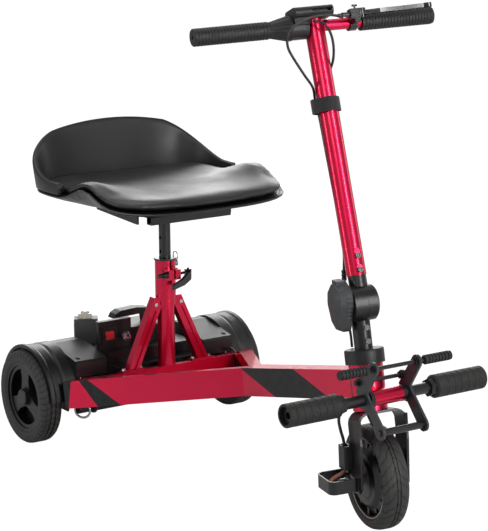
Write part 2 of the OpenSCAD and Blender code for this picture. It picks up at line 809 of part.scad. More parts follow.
module switch_key() {
    color("#d9dadd") from_axle() {
        translate([key_x, pack_y0 + 10, key_z]) rotate([90, 0, 0]) cylinder(r = 4, h = 20);
        translate([key_x, pack_y0 - 9.5, key_z]) rotate([90, 0, 0]) cylinder(r = 8, h = 5);
        translate([key_x, pack_y0 - 22, key_z]) difference() {
            rotate([0, 90, 0]) cylinder(r = 11, h = 3, center = true);
            translate([0, -3, 0]) rotate([0, 90, 0]) cylinder(r = 4, h = 6, center = true);
        }
    }
}

handle_z = pack_z0 + pack_h;

module battery_handle() {
    color("#1b1c1e") from_axle() {
        translate([0, 14, 0]) rotate([90, 0, 0])
            linear_extrude(26) polygon([
                [pack_x0 + 58, handle_z - 7], [pack_x0 + 64, handle_z + 3], [pack_x0 + 76, handle_z + 9],
                [pack_x0 + 118, handle_z + 11], [pack_x0 + 148, handle_z + 7],
                [pack_x0 + 158, handle_z - 1], [pack_x0 + 161, handle_z - 10],
                [pack_x0 + 161, handle_z - 26], [pack_x0 + 141, handle_z - 26],
                [pack_x0 + 138, handle_z - 10], [pack_x0 + 128, handle_z - 4], [pack_x0 + 72, handle_z - 6]
            ]);
    }
}

peg_cup = 10;

module foot_peg_tube() {
    color("#232427") from_axle() difference() {
        bar(-peg_half + peg_cup - 2, peg_half - peg_cup + 2, -peg_back, peg_z, peg_d);
        bar(-peg_half, peg_half, -peg_back, peg_z, peg_d - 8);
    }
}

sleeve_rings = [
    for (i = [0 : 5]) each [
        [peg_sleeve_d / 2, 121 + i * 16], [peg_sleeve_d / 2, 133 + i * 16],
        [peg_sleeve_d / 2 - 0.8, 134 + i * 16], [peg_sleeve_d / 2 - 0.8, 136 + i * 16]
    ]
];

module foot_peg_sleeve() {
    translate([0, -peg_back, peg_z]) {
        rotate([0, 90, 0]) rotate_extrude() polygon(concat(
            [[peg_d / 2, 110], [peg_sleeve_d / 2 - 4, 110], [peg_sleeve_d / 2, 114]],
            sleeve_rings,
            [[peg_sleeve_d / 2, peg_half - 12], [peg_sleeve_d / 2, peg_half - 1],
                [peg_sleeve_d / 2 - 1, peg_half], [peg_sleeve_d / 2 - 5, peg_half],
                [peg_sleeve_d / 2 - 5, peg_half - peg_cup],
                [peg_d / 2, peg_half - peg_cup]]));
        rotate([0, 90, 0]) difference() {
            translate([0, 0, 100]) cylinder(r = 18, h = 10, $fn = 6);
            translate([0, 0, 99]) cylinder(d = peg_d, h = 12);
        }
    }
}

module foot_peg_sleeves() { color("#2a2826") from_axle() both() foot_peg_sleeve(); }

top_y = -wheelbase - 74;
top_z = 338;
mid_y = -wheelbase - 30;
mid_z = 303;
low_y = -wheelbase - 96;
low_z = 221;

module front_bracket() {
    color("#47484b") from_axle() both() side_cut(bracket_x, bracket_x + bracket_t) difference() {
        union() {
            polygon([
                [top_y - 11, top_z - 7], [top_y + 11, top_z + 7], [mid_y + 8, mid_z - 18],
                [low_y + 10, low_z - 9], [low_y - 10, low_z + 9], [-peg_back - 11, peg_z + 13]
            ]);
            translate([top_y, top_z]) circle(r = 13);
            translate([low_y, low_z]) circle(r = 13.4);
            translate([mid_y, mid_z]) circle(r = 9);
            translate([-peg_back, peg_z]) circle(d = peg_d + 14);
        }
        translate([-peg_back, peg_z]) circle(d = peg_d);
        for (p = [[top_y, top_z], [mid_y, mid_z]]) translate(p) circle(d = 8);
        translate([low_y + 28, low_z + 18]) rotate([0, 0, 48]) {
            square([20, 4], center = true);
            for (s = [-10, 10]) translate([s, 0]) circle(r = 2);
        }
        translate([low_y, low_z]) circle(r = 4);
    }
}

module rod_nuts(x, y, z) {
    both() translate([x, y, z]) rotate([0, 90, 0]) difference() {
        cylinder(r = 7.5, h = 5, $fn = 6);
        translate([0, 0, -1]) cylinder(d = 8, h = 7);
    }
}

module bracket_rods() {
    color("#2a2b2d") from_axle() {
        bar(-126, 126, top_y, top_z, 8);
        bar(-62, 62, mid_y, mid_z, 8);
        bar(-bracket_x, bracket_x, low_y, low_z, 14);
        bar(-bracket_x - bracket_t, bracket_x + bracket_t, low_y, low_z, 8);
        both() bar(bracket_x + bracket_t, bracket_x + bracket_t + 3, low_y, low_z, 13);
        rod_nuts(bracket_x + bracket_t, top_y, top_z);
        rod_nuts(bracket_x + bracket_t, mid_y, mid_z);
        rod_nuts(bracket_x - 5, top_y, top_z);
        rod_nuts(bracket_x - 5, mid_y, mid_z);
        both() translate([34, -peg_back, peg_z]) rotate([0, 90, 0]) difference() {
            cylinder(d = peg_d + 9, h = 8);
            translate([0, 0, -1]) cylinder(d = peg_d, h = 10);
        }
    }
}

module bracket_grips() {
    color("#1b1b1c") from_axle() both() translate([0, top_y, top_z]) rotate([0, 90, 0])
        rotate_extrude() polygon(concat(
            [[4, 66], [7.4, 66]],
            [for (i = [0 : 7]) each [[9.2, 68 + i * 7.6], [9.2, 72 + i * 7.6], [7.4, 73 + i * 7.6],
                [7.4, 74.6 + i * 7.6]]],
            [[8.6, 129], [0, 129], [0, 126], [4, 126]]));
}

// ---------- fork and front wheel ----------
module arch(x0, x1, h, r) {
    translate([x0, -h]) square([x1 - x0, h - r]);
    translate([x0 + r, -r]) square([x1 - x0 - 2 * r, r]);
    for (x = [x0 + r, x1 - r]) translate([x, -r]) circle(r = r);
}

crown_s = head_s - 1;
leg = [
    [-40, 130], [5, 122], [5, 74], [13, 22], [13, -8], [7, -18], [-9, -22], [-32, -18], [-42, -6],
    [-44, 80]
];

module leg_plate() {
    difference() {
        polygon([for (p = leg) [p[0] - wheelbase, p[1] + wheel_r]]);
        translate([-wheelbase, wheel_r]) circle(d = motor_axle_d);
    }
}

module fork() {
    color("#232426") from_fork() {
        in_head() {
            translate([0, 12, crown_s]) rotate([90, 0, 0]) linear_extrude(48) difference() {
                arch(-fork_right + 0.4, fork_left - 0.4, 62, 24);
                translate([0, -fork_t]) arch(-fork_right + fork_t - 0.5, fork_left - fork_t + 0.5, 64, 19);
            }
            translate([0, 0, crown_s - fork_t]) cylinder(r = 26, h = fork_t);
            translate([0, 0, crown_s - 1]) cylinder(r = steerer_r, h = pivot_s - crown_s - fold_r - 8);
        }
        side_cut(-fork_right, -fork_right + fork_t) leg_plate();
        side_cut(fork_left - fork_t, fork_left) leg_plate();
    }
}

module headset_cover() {
    color("#2b2c2e") from_fork() in_head() translate([0, 0, cover_s]) difference() {
        union() {
            cylinder(d = cover_d, h = cover_h - 2);
            translate([0, 0, cover_h - 2]) cylinder(d1 = cover_d, d2 = cover_d - 4, h = 2);
        }
        translate([0, 0, -1]) cylinder(r = steerer_r, h = cover_h + 2);
    }
}

front_half = [
    [front_rim_r, -front_tyre_w / 2 + 7], [front_rim_r + 3, -front_tyre_w / 2 + 2.5],
    [front_rim_r + 8, -front_tyre_w / 2], [front_rim_r + 12, -front_tyre_w / 2 + 0.8],
    [front_rim_r + 16.5, -front_tyre_w / 2 + 4], [front_rim_r + 20, -front_tyre_w / 2 + 9],
    [wheel_r - 0.4, -front_tyre_w / 2 + 16], [wheel_r, -5], [wheel_r - 1.6, -4.4],
    [wheel_r - 1.6, -2.4], [wheel_r, -1.8]
];

module at_front() { translate([0, -wheelbase, wheel_r]) rotate([0, 90, 0]) children(); }

module front_tyre() {
    color("#2c2b2a") from_wheel() at_front() rotate_extrude($fn = 96)
        polygon(concat(front_half, flip(front_half)));
}

motor_r = motor_d / 2;
motor_z = motor_w / 2;

module hub_motor() {
    color("#1d1e20") from_wheel() at_front() difference() {
        union() {
            rotate_extrude($fn = 96) polygon([
                [0, -motor_z], [motor_r - 22, -motor_z], [motor_r - 16, -motor_z + 3],
                [motor_r - 8, -motor_z + 4], [motor_r, -motor_z + 12], [front_rim_r - 5, -11],
                [front_rim_r - 4.5, -front_tyre_w / 2 + 6.5], [front_rim_r, -front_tyre_w / 2 + 6.5],
                [front_rim_r, front_tyre_w / 2 - 6.5], [front_rim_r - 4.5, front_tyre_w / 2 - 6.5],
                [front_rim_r - 5, 11], [motor_r, motor_z - 10], [brake_drum_d / 2, motor_z - 6],
                [brake_drum_d / 2, motor_z + 13], [0, motor_z + 13]
            ]);
            for (i = [0 : 5]) rotate([0, 0, i * 60]) translate([motor_r - 14, -4, -18])
                cube([front_rim_r - motor_r + 10, 8, 12]);
            for (i = [0 : motor_screws - 1]) rotate([0, 0, 30 + i * 360 / motor_screws])
                translate([motor_r + 6, 0, -18]) cylinder(r = 4, h = 30);
        }
        translate([0, 0, -motor_z - 1]) cylinder(r = motor_axle_d / 2 + running, h = motor_w + 20);
    }
}

nut_r = 12;

module motor_axle() {
    color("#b9bbbf") from_fork() {
        bar(-fork_right - 26, fork_left + 15, -wheelbase, wheel_r, motor_axle_d);
        bar(-fork_right + fork_t, fork_x - motor_z - gap, -wheelbase, wheel_r, 22);
        bar(-fork_right - 2, -fork_right, -wheelbase, wheel_r, 26);
        translate([-fork_right - 10, -wheelbase, wheel_r]) rotate([0, 90, 0])
            cylinder(r = nut_r, h = 8, $fn = 6);
        translate([fork_left, -wheelbase, wheel_r]) rotate([0, 90, 0])
            cylinder(r = nut_r, h = 10, $fn = 6);
    }
}

module rounded(x0, x1, y0, y1, r) {
    translate([x0, y0 + r]) square([x1 - x0, y1 - y0 - 2 * r]);
    translate([x0 + r, y0]) square([x1 - x0 - 2 * r, y1 - y0]);
    for (x = [x0 + r, x1 - r], y = [y0 + r, y1 - r]) translate([x, y]) circle(r = r);
}

module guard_loop() {
    color("#1b1c1d") from_fork() translate([-fork_right, -wheelbase, wheel_r - 13])
        linear_extrude(26) {
            difference() {
                rounded(-56, 14, -29, 41, 14);
                rounded(-53, 17, -26, 38, 11);
                translate([0, -100]) square([40, 200]);
            }
            translate([-3, -36]) square([3, 10]);
            translate([-3, 14]) square([3, 26]);
        }
}

module cable_pouch() {
    color("#1d1e20") from_fork() difference() {
        box(-fork_right - 17, -fork_right, -wheelbase - 6, -wheelbase + 18, 126, 172);
        box(-fork_right - 14, -fork_right - 3, -wheelbase - 3, -wheelbase + 15, 129, 173);
        translate([-fork_right - 8.5, -wheelbase + 5.5, 120]) cylinder(d = 8.4, h = 12);
    }
}

module along(a, b, d) {
    v = b - a;
    translate(a) rotate([0, acos(v[2] / norm(v)), atan2(v[1], v[0])]) cylinder(d = d, h = norm(v));
}

// the point under the front wheel that cable routes are measured from
module at_contact() { translate([0, -wheelbase, 0]) children(); }

motor_lead = [
    [-53.5, 6, 131], [-53.5, 5, 124], [-62, 8, 116], [-77, 12, 108], [-85, 9, 103],
    [-83, 2, 101], [-71.3, 0, 101.5]
];
pouch_lead = [
    [-22, 64, 240], [-35, 55, 231], [-50, 38, 215], [-55, 22, 200], [-54, 10, 178],
    [-53.5, 7, 150]
];
head_lead = [
    [-16, 76, 423], [-15, 72, 408], [-12, 67, 392], [-9, 62, 372], [-8, 59, 345]
];

module motor_cable() {
    color("#8a5a44") from_fork() {
        at_contact() {
            cord(motor_lead, 7, n = 2, ref = [0, 0, 1]);
            cord(pouch_lead, 6, n = 2, ref = [0, 1, 0]);
            cord(head_lead, 5, n = 2, ref = [1, 0, 0]);
        }
    }
}

// ---------- fold joint and tiller ----------
module at_pivot() { translate([0, pivot_y, pivot_z]) rotate([0, 90, 0]) children(); }

module fold_knuckle() {
    color("#2c2d2f") from_fork() {
        difference() {
            union() {
                in_head() translate([0, 0, cover_s + cover_h])
                    cylinder(r = neck_r, h = pivot_s - cover_s - cover_h - 8);
                at_pivot() translate([0, 0, fold_seam + gap])
                    cylinder(r = fold_r, h = fold_right - fold_seam - gap - 3);
                at_pivot() translate([0, 0, fold_right - 3])
                    cylinder(r1 = fold_r, r2 = fold_r - 3, h = 3);
            }
            at_pivot() translate([0, 0, fold_left - 30])
                cylinder(r = fold_r + gap, h = fold_seam + gap - fold_left + 30);
            in_head() translate([0, 0, -50]) cylinder(r = steerer_r, h = pivot_s - fold_r + 42);
        }
        at_pivot() translate([0, 0, fold_left]) cylinder(r = pin_r, h = fold_seam - fold_left + 1);
        at_pivot() translate([0, 0, fold_left - 24]) cylinder(r = stud_r, h = 25);
        in_head() for (s = [cover_s + cover_h + 14, cover_s + cover_h + 40])
            translate([3, -neck_r + 1.5, s]) rotate([90, 0, 0]) cylinder(r = 5.4, h = 3.5);
    }
}

lever_x = fold_left - gap;

function lever_rib(i) = [15.5, 18, 20.5, 23.3, 24.4, 22.8][i];

module lever_slice(x0, x1, k) {
    at_pivot() translate([0, 0, x0]) {
        translate([-8 * k, 6, 0]) cylinder(r = 31 * k, h = x1 - x0);
        translate([38 * k, 3, 0]) cylinder(r = 14 * k, h = x1 - x0);
        translate([-30 * k, 15, 0]) cylinder(r = 15 * k, h = x1 - x0);
    }
}

module fold_lever() {
    color("#48494b") from_fork() difference() {
        union() {
            hull() {
                lever_slice(lever_x - 12, lever_x, 1);
                lever_slice(lever_x - 25, lever_x - 12, 0.88);
                lever_slice(lever_x - 32, lever_x - 25, 0.62);
            }
            for (i = [0 : 5]) at_pivot() translate([22 - i * 8, -lever_rib(i), lever_x - 13])
                cylinder(r = 2.2, h = 11);
            translate([lever_x - 22, pivot_y + 4, pivot_z + 36]) cube([16, 20, 10]);
        }
        at_pivot() translate([0, 0, lever_x - 24]) cylinder(r = stud_r + running, h = 30);
    }
}

yoke_top = 52;
bar_r = bar_d / 2;
tiller_r = tiller_d / 2;

module at_fold() { rotate([0, 90, 0]) children(); }

module upper_yoke() {
    color("#303133") from_fork() in_tiller() {
        difference() {
            union() {
                cylinder(r = tiller_r - 1.5, h = yoke_top);
                at_fold() translate([0, 0, fold_left])
                    cylinder(r = fold_r, h = fold_seam - fold_left);
            }
            at_fold() translate([0, 0, fold_seam]) cylinder(r = fold_r + gap, h = 60);
            at_fold() translate([0, 0, fold_left - 1]) cylinder(r = pin_r + running, h = 60);
            box(-30, -12, -24, -12, fold_r + 3, yoke_top - 5);
            box(12, 30, -24, -12, fold_r + 3, yoke_top - 5);
        }
        translate([0, 0, yoke_top - 1]) cylinder(r = tiller_r - 3, h = 36);
    }
}

module tiller() {
    color("#c81e3f") from_fork() difference() {
        in_tiller() {
            difference() {
                union() {
                    translate([0, 0, yoke_top])
                        cylinder(r = tiller_r, h = tiller_len + bar_r + 1.5 - yoke_top);
                    translate([0, 0, tiller_len]) bar(-bar_half + 3, bar_half - 3, 0, 0, bar_d);
                }
                translate([0, 0, yoke_top - 1])
                    cylinder(r = tiller_r - 3, h = tiller_len - yoke_top - 24);
                translate([0, 0, tiller_len]) bar(-bar_half, bar_half, 0, 0, bar_d - 5);
            }
            for (s = [yoke_top + 14, yoke_top + 44])
                translate([0, -tiller_r + 1.5, s]) rotate([90, 0, 0]) cylinder(r = 5.6, h = 4);
        }
        at_contact() along(throttle_route[4] + [1.1, -1.9, 5.6], throttle_route[5] - [1.1, -1.9, 5.6],
            cable_d + 3);
    }
}

grip_r = grip_d / 2;

function grip_profile(x0, x1) = concat(
    [[bar_r, x0], [grip_r, x0], [grip_r, x0 + 4]],
    [for (i = [0 : floor((x1 - x0 - 12) / 6.5)]) each
        [[grip_r - 1, x0 + 5 + i * 6.5], [grip_r - 1, x0 + 7 + i * 6.5],
            [grip_r, x0 + 8 + i * 6.5], [grip_r, x0 + 11.2 + i * 6.5]]],
    [[grip_r - 1, x1 - 0.6], [grip_r - 2, x1], [3.5, x1], [3.5, x1 - 3], [bar_r, x1 - 3]]);

module grips() {
    color("#2b2a2a") from_fork() in_tiller() translate([0, 0, tiller_len]) {
        rotate([0, 90, 0]) rotate_extrude() polygon(grip_profile(95, bar_half));
        rotate([0, -90, 0]) rotate_extrude() polygon(grip_profile(98, bar_half));
    }
}

module throttle_pod() {
    color("#27282a") from_fork() in_tiller() translate([0, 0, tiller_len]) difference() {
        union() {
            bar(-51, -tiller_r - 0.3, 0, 0, 46);
            box(-50, 28, -30, 6, 13, 33);
            box(-50, -tiller_r - 0.3, -30, 6, 0, 20);
            bar(-50, 28, -30, 23, 20);
            bar(-50, 28, 6, 23, 20);
        }
        bar(-60, 60, 0, 0, bar_d);
        box(-16, 24, -44, -28, 20, 26);
    }
}

cone_in = 24;
cone_out = 16;

module throttle() {
    color("#1c1d1e") from_fork() in_tiller() translate([0, 0, tiller_len]) {
        rotate([0, -90, 0]) difference() {
            union() {
                translate([0, 0, 51 + gap]) cylinder(r = cone_in, h = 6);
                translate([0, 0, 57 + gap]) cylinder(r1 = cone_in, r2 = cone_out, h = 34);
                translate([0, 0, 91 + gap]) cylinder(r = cone_out, h = 6);
            }
            translate([0, 0, 50]) cylinder(r = bar_r + running, h = 60);
            for (i = [0 : 17]) rotate([0, 0, i * 20]) translate([cone_in + 0.6, 0, 56])
                rotate([0, -12, 0]) cylinder(r = 1.7, h = 44);
        }
    }
}

brake_x = 81;
brake_y = -44;

module brake_bracket() {
    color("#121315") from_fork() in_tiller() translate([0, 0, tiller_len]) {
        difference() {
            union() {
                bar(70, 84, 0, 0, 31);
                box(71, 83, -34, 0, -6, 6);
                translate([brake_x, brake_y, -1]) cylinder(r = 9, h = 18);
                box(56, brake_x, brake_y - 8, brake_y + 9, -1, 17);
                box(70, 84, brake_y, -12, -1, 17);
            }
            bar(60, 90, 0, 0, bar_d);
            translate([brake_x, brake_y, 3.6 - gap]) cylinder(r = 10.5, h = 8.8 + 2 * gap);
            box(brake_x, 130, brake_y - 20, brake_y + 40, 3.2, 12.8);
        }
        translate([brake_x, brake_y, -1]) cylinder(r = 3, h = 18);
        bar(40, 57, brake_y, 8, 9);
        bar(32, 40, brake_y, 8, 6);
        translate([brake_x - 12, brake_y, 16]) cylinder(r = 2, h = 9);
        translate([brake_x - 12, brake_y, 24]) rotate([0, 90, 0]) cylinder(r = 2, h = 10, center = true);
    }
}

module blade(x, y, r) { translate([x, y, 4]) cylinder(r = r, h = 8, $fn = 32); }

module brake_lever() {
    color("#0d0e10") from_fork() in_tiller() translate([0, 0, tiller_len]) difference() {
        union() {
            blade(brake_x, brake_y, 9);
            hull() { blade(brake_x + 2, brake_y, 8.5); blade(116, brake_y - 8, 6); }
            hull() { blade(116, brake_y - 8, 6); blade(160, brake_y - 11, 5); }
            hull() { blade(160, brake_y - 11, 5); blade(204, brake_y - 17, 5.5); }
            hull() { blade(204, brake_y - 17, 5.5); blade(213, brake_y - 19, 7); }
        }
        translate([brake_x, brake_y, 0]) cylinder(r = 3 + running, h = 20);
    }
}

brake_route = [
    [36, 147, 960], [16, 153, 966], [-20, 155, 966], [-56, 155, 955], [-74, 155, 938],
    [-76, 155, 915], [-66, 155, 893], [-44, 156, 858], [-26, 160, 832], [-17.5, 169.7, 805.1],
    [-12.8, 161.8, 768.7], [-11, 142.4, 708.8], [-8.9, 116, 629.3], [-8.2, 92.4, 559.8], [-8, 83, 525],
    [-8, 85, 488]
];
throttle_route = [
    [-20, 158, 958], [0, 162, 952], [14, 163, 936], [21, 163, 910], [20, 164, 880],
    [14, 174, 850], [6, 170, 818], [0, 164, 796]
];

tail_route = [[-8, 85, 472], [-8, 84.5, 458], [-8, 81.5, 444], [-8, 77.5, 430]];

module tiller_cables() {
    color("#141416") from_fork() {
        at_contact() {
            cord(brake_route, cable_d, n = 2, ref = [0, 1, 0.3]);
            cord(throttle_route, cable_d, n = 2, ref = [0, 1, 0.3]);
            cord(tail_route, cable_d, n = 2, ref = [1, 0, 0]);
            translate([-8, 85, 470]) cylinder(r = 5, h = 20);
        }
        in_tiller() translate([-3, 2, 362]) difference() {
            union() {
                cylinder(r = tiller_r + 9, h = 27);
                translate([-13, -2, 0]) cylinder(r = tiller_r + 3, h = 27);
            }
            translate([0, 0, -1]) cylinder(r = tiller_r + 6, h = 30);
            translate([-13, -2, -1]) cylinder(r = tiller_r, h = 30);
        }
        in_tiller() translate([0, 0, 364]) difference() {
            cylinder(r = tiller_r + 4.5, h = 23);
            translate([0, 0, -1]) cylinder(r = tiller_r, h = 30);
        }
    }
}

rear_tyre_right();
rear_tyre_left();
rear_wheel_right();
rear_wheel_left();
hub_cap_right();
hub_cap_left();
rear_axles();
fender_right();
fender_left();
wheel_cover_right();
wheel_cover_left();
frame_screws();
spine();
frame_arm_right();
frame_arm_left();
crossbeam();
head_tube();
mast();
mast_struts();
tie_ring();
battery_tray();
battery_dock();
controller_box();
lamp_dome();
left_cable();
mast_clamp();
foot_peg_tube();
foot_peg_sleeves();
front_bracket();
bracket_rods();
bracket_grips();
battery_pack();
battery_handle();
power_switch();
switch_key();
clamp_lever();
seat_pin();
seat_post();
seat_bracket();
seat_shell();
seat_cushion();
backrest();
fork();
headset_cover();
motor_axle();
motor_cable();
fold_knuckle();
cable_pouch();
guard_loop();
front_tyre();
hub_motor();
fold_lever();
upper_yoke();
tiller();
grips();
throttle_pod();
throttle();
brake_bracket();
brake_lever();
tiller_cables();
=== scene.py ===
import json
import math

import bmesh
import bpy
import numpy as np
from mathutils import Matrix, Vector
from mathutils.bvhtree import BVHTree

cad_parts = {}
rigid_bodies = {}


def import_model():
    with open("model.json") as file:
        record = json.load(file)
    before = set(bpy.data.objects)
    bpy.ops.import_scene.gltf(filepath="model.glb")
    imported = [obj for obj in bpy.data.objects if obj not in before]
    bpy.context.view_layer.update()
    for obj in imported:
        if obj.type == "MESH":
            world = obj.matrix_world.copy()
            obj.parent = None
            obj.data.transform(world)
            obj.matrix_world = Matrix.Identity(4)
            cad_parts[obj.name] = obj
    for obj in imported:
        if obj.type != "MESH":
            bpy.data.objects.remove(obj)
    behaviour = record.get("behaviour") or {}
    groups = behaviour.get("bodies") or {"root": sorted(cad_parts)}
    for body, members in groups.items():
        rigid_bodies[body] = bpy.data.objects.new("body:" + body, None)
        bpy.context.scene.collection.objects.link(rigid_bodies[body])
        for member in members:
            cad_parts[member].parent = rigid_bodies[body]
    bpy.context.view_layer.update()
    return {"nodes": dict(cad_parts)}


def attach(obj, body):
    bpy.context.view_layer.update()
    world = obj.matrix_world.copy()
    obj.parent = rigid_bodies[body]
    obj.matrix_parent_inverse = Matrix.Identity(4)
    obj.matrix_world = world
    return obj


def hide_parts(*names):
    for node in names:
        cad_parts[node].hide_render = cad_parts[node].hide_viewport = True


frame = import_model()
NODES = frame["nodes"]
MM = 0.001

# ---------- the part's own measures, in mm, as in part.scad ----------
AXLE_Y = 440.4898
WHEEL_R = 101.5
WHEEL_X = 257.0
REAR_RIM = 75.0
WHEELBASE = 880.0
HEAD = Vector((0.0, 14.0 - WHEELBASE, 300.0))
HEAD_RAKE = math.radians(10.9)
STEER = math.radians(-12.0)
PIVOT = Vector((0.0, 28.0 - WHEELBASE, 437.5))
TILLER_RAKE = math.radians(19.0)
TILLER_R = 19.0
SEAT_Y = -130.0
SEAT_TOP = 563.0
SEAT_A = 225.0
SEAT_B = 215.0
SEAT_N = 4.8
CUSHION_T = 22.0
BACK_T = 15.0
BACK_H = 115.0
BACK_END = 79.0
BACK_LEAN = 12.0

HEAD_AXIS = Vector((0.0, math.sin(HEAD_RAKE), math.cos(HEAD_RAKE)))
STEERED = (
    Matrix.Translation(HEAD)
    @ Matrix.Rotation(STEER, 4, HEAD_AXIS)
    @ Matrix.Translation(-HEAD)
)
TILLER = (
    STEERED @ Matrix.Translation(PIVOT) @ Matrix.Rotation(-TILLER_RAKE, 4, "X")
)


def at(p, m=None):
    """A point in mm from the rear axle, through matrix m, as metres in the row frame."""
    v = Vector(p)
    if m is not None:
        v = m @ v
    return Vector((v.x * MM, (v.y + AXLE_Y) * MM, v.z * MM))


# ---------- camera ----------
CAMERA_PLACE = (-2369.77, -3995.48, 1376.43)
CAMERA_AZ = math.radians(-33.776)
CAMERA_EL = math.radians(12.417)
CAMERA_ROLL = math.radians(-0.50)
CAMERA_LENS = 145.67
CAMERA_SENSOR = 36.0
PHOTO_W = 488
PHOTO_H = 531


def make_camera():
    back = Vector((
        math.sin(CAMERA_AZ) * math.cos(CAMERA_EL),
        -math.cos(CAMERA_AZ) * math.cos(CAMERA_EL),
        math.sin(CAMERA_EL),
    ))
    right = Vector((math.cos(CAMERA_AZ), math.sin(CAMERA_AZ), 0.0))
    up = back.cross(right)
    c, s = math.cos(CAMERA_ROLL), math.sin(CAMERA_ROLL)
    r, u = c * right + s * up, c * up - s * right
    data = bpy.data.cameras.new("camera")
    data.lens = CAMERA_LENS
    data.sensor_width = CAMERA_SENSOR
    data.sensor_fit = "AUTO"
    data.clip_end = 50
    cam = bpy.data.objects.new("camera", data)
    m = Matrix((r, u, back)).transposed().to_4x4()
    m.translation = at(CAMERA_PLACE)
    cam.matrix_world = m
    bpy.context.scene.collection.objects.link(cam)
    bpy.context.scene.camera = cam
    return cam


camera = make_camera()

# the photograph's image points, x to the right and y down in its 488 x 531 frame
IMAGE_POINTS = {
    "left": (2, None),
    "right": (486, None),
    "top": (None, 1),
    "bottom": (None, 530),
    "right_grip_end": (189.4, 36),
    "left_grip_end": (434.8, 16),
    "right_hub": (20.5, 400),
    "front_guard": (321.5, 479),
    "strap": (327, 104),
    "stem_screw_upper": (361.5, 255),
    "stem_screw_lower": (364, 269),
    "cable_joint": (340, 277),
    "backrest_seam": (120, 117),
}


def show(p):
    """Where a place of the row frame shows, in the photograph's frame."""
    long_side = max(PHOTO_W, PHOTO_H)
    data = camera.data
    q = camera.matrix_world.inverted() @ Vector(p)
    scale = long_side * data.lens / data.sensor_width / -q.z
    return (q.x * scale + PHOTO_W / 2 - data.shift_x * long_side,
            PHOTO_H / 2 - q.y * scale + data.shift_y * long_side)


def finished(obs):
    """Vertices and faces of the pieces as finished and placed."""
    graph = bpy.context.evaluated_depsgraph_get()
    verts, faces = [], []
    for ob in obs:
        ready = ob.evaluated_get(graph)
        mesh = ready.to_mesh()
        base = len(verts)
        m = ob.matrix_world
        verts += [m @ v.co for v in mesh.vertices]
        faces += [tuple(base + i for i in f.vertices) for f in mesh.polygons]
        ready.to_mesh_clear()
    return verts, faces


def place(name, *carriers):
    """The place where the ray through an image point meets what carries the piece.
    A miss takes the place nearest the ray, looked for over 3 m round the object."""
    x, y = IMAGE_POINTS[name]
    long_side = max(PHOTO_W, PHOTO_H)
    data = camera.data
    ray = Vector((
        x - PHOTO_W / 2 + data.shift_x * long_side,
        PHOTO_H / 2 - y + data.shift_y * long_side,
        -long_side * data.lens / data.sensor_width,
    ))
    m = camera.matrix_world
    start, ray = m.translation, (m.to_3x3() @ ray).normalized()
    tree = BVHTree.FromPolygons(*finished(carriers))
    hit = tree.ray_cast(start, ray)[0]
    if hit is None:
        spots = [start + ray * (start.length - 1.5 + 0.003 * i) for i in range(1000)]
        nearest = [tree.find_nearest(p)[0] for p in spots]
        gaps = [(p - q).length for p, q in zip(spots, nearest)]
        hit = nearest[gaps.index(min(gaps))]
    return hit


# ---------- small builders ----------
def new_object(name, verts, faces):
    mesh = bpy.data.meshes.new(name)
    mesh.from_pydata([tuple(v) for v in verts], [], faces)
    mesh.validate()
    mesh.polygons.foreach_set("use_smooth", [True] * len(mesh.polygons))
    ob = bpy.data.objects.new(name, mesh)
    bpy.context.scene.collection.objects.link(ob)
    return ob


def spline(points, step):
    """Points about `step` apart along a Catmull-Rom curve through the given points."""
    p = [2 * points[0] - points[1]] + list(points) + [2 * points[-1] - points[-2]]
    out = []
    for i in range(1, len(p) - 2):
        n = max(2, int((p[i + 1] - p[i]).length / step))
        for k in range(n):
            t = k / n
            a, b, c, d = p[i - 1], p[i], p[i + 1], p[i + 2]
            out.append(0.5 * (
                2 * b + (c - a) * t + (2 * a - 5 * b + 4 * c - d) * t * t
                + (3 * b - a - 3 * c + d) * t * t * t
            ))
    out.append(points[-1].copy())
    return out


def sweep(name, path, radius, sides=12):
    """A tube along path, its frame carried along without twist."""
    verts, faces = [], []
    tangent = (path[1] - path[0]).normalized()
    side = tangent.orthogonal().normalized()
    for i, p in enumerate(path):
        a, b = path[max(i - 1, 0)], path[min(i + 1, len(path) - 1)]
        t = (b - a).normalized()
        side = (side - t * side.dot(t)).normalized()
        other = t.cross(side)
        for k in range(sides):
            w = 2 * math.pi * k / sides
            verts.append(p + radius * (math.cos(w) * side + math.sin(w) * other))
    for i in range(len(path) - 1):
        for k in range(sides):
            j = (k + 1) % sides
            faces.append((i * sides + k, i * sides + j, (i + 1) * sides + j, (i + 1) * sides + k))
    faces.append(tuple(reversed(range(sides))))
    faces.append(tuple((len(path) - 1) * sides + k for k in range(sides)))
    return new_object(name, verts, faces)


# ---------- materials ----------
def srgb(r, g, b):
    out = []
    for v in (r, g, b):
        v /= 255
        out.append(v / 12.92 if v <= 0.04045 else ((v + 0.055) / 1.055) ** 2.4)
    return (*out, 1.0)


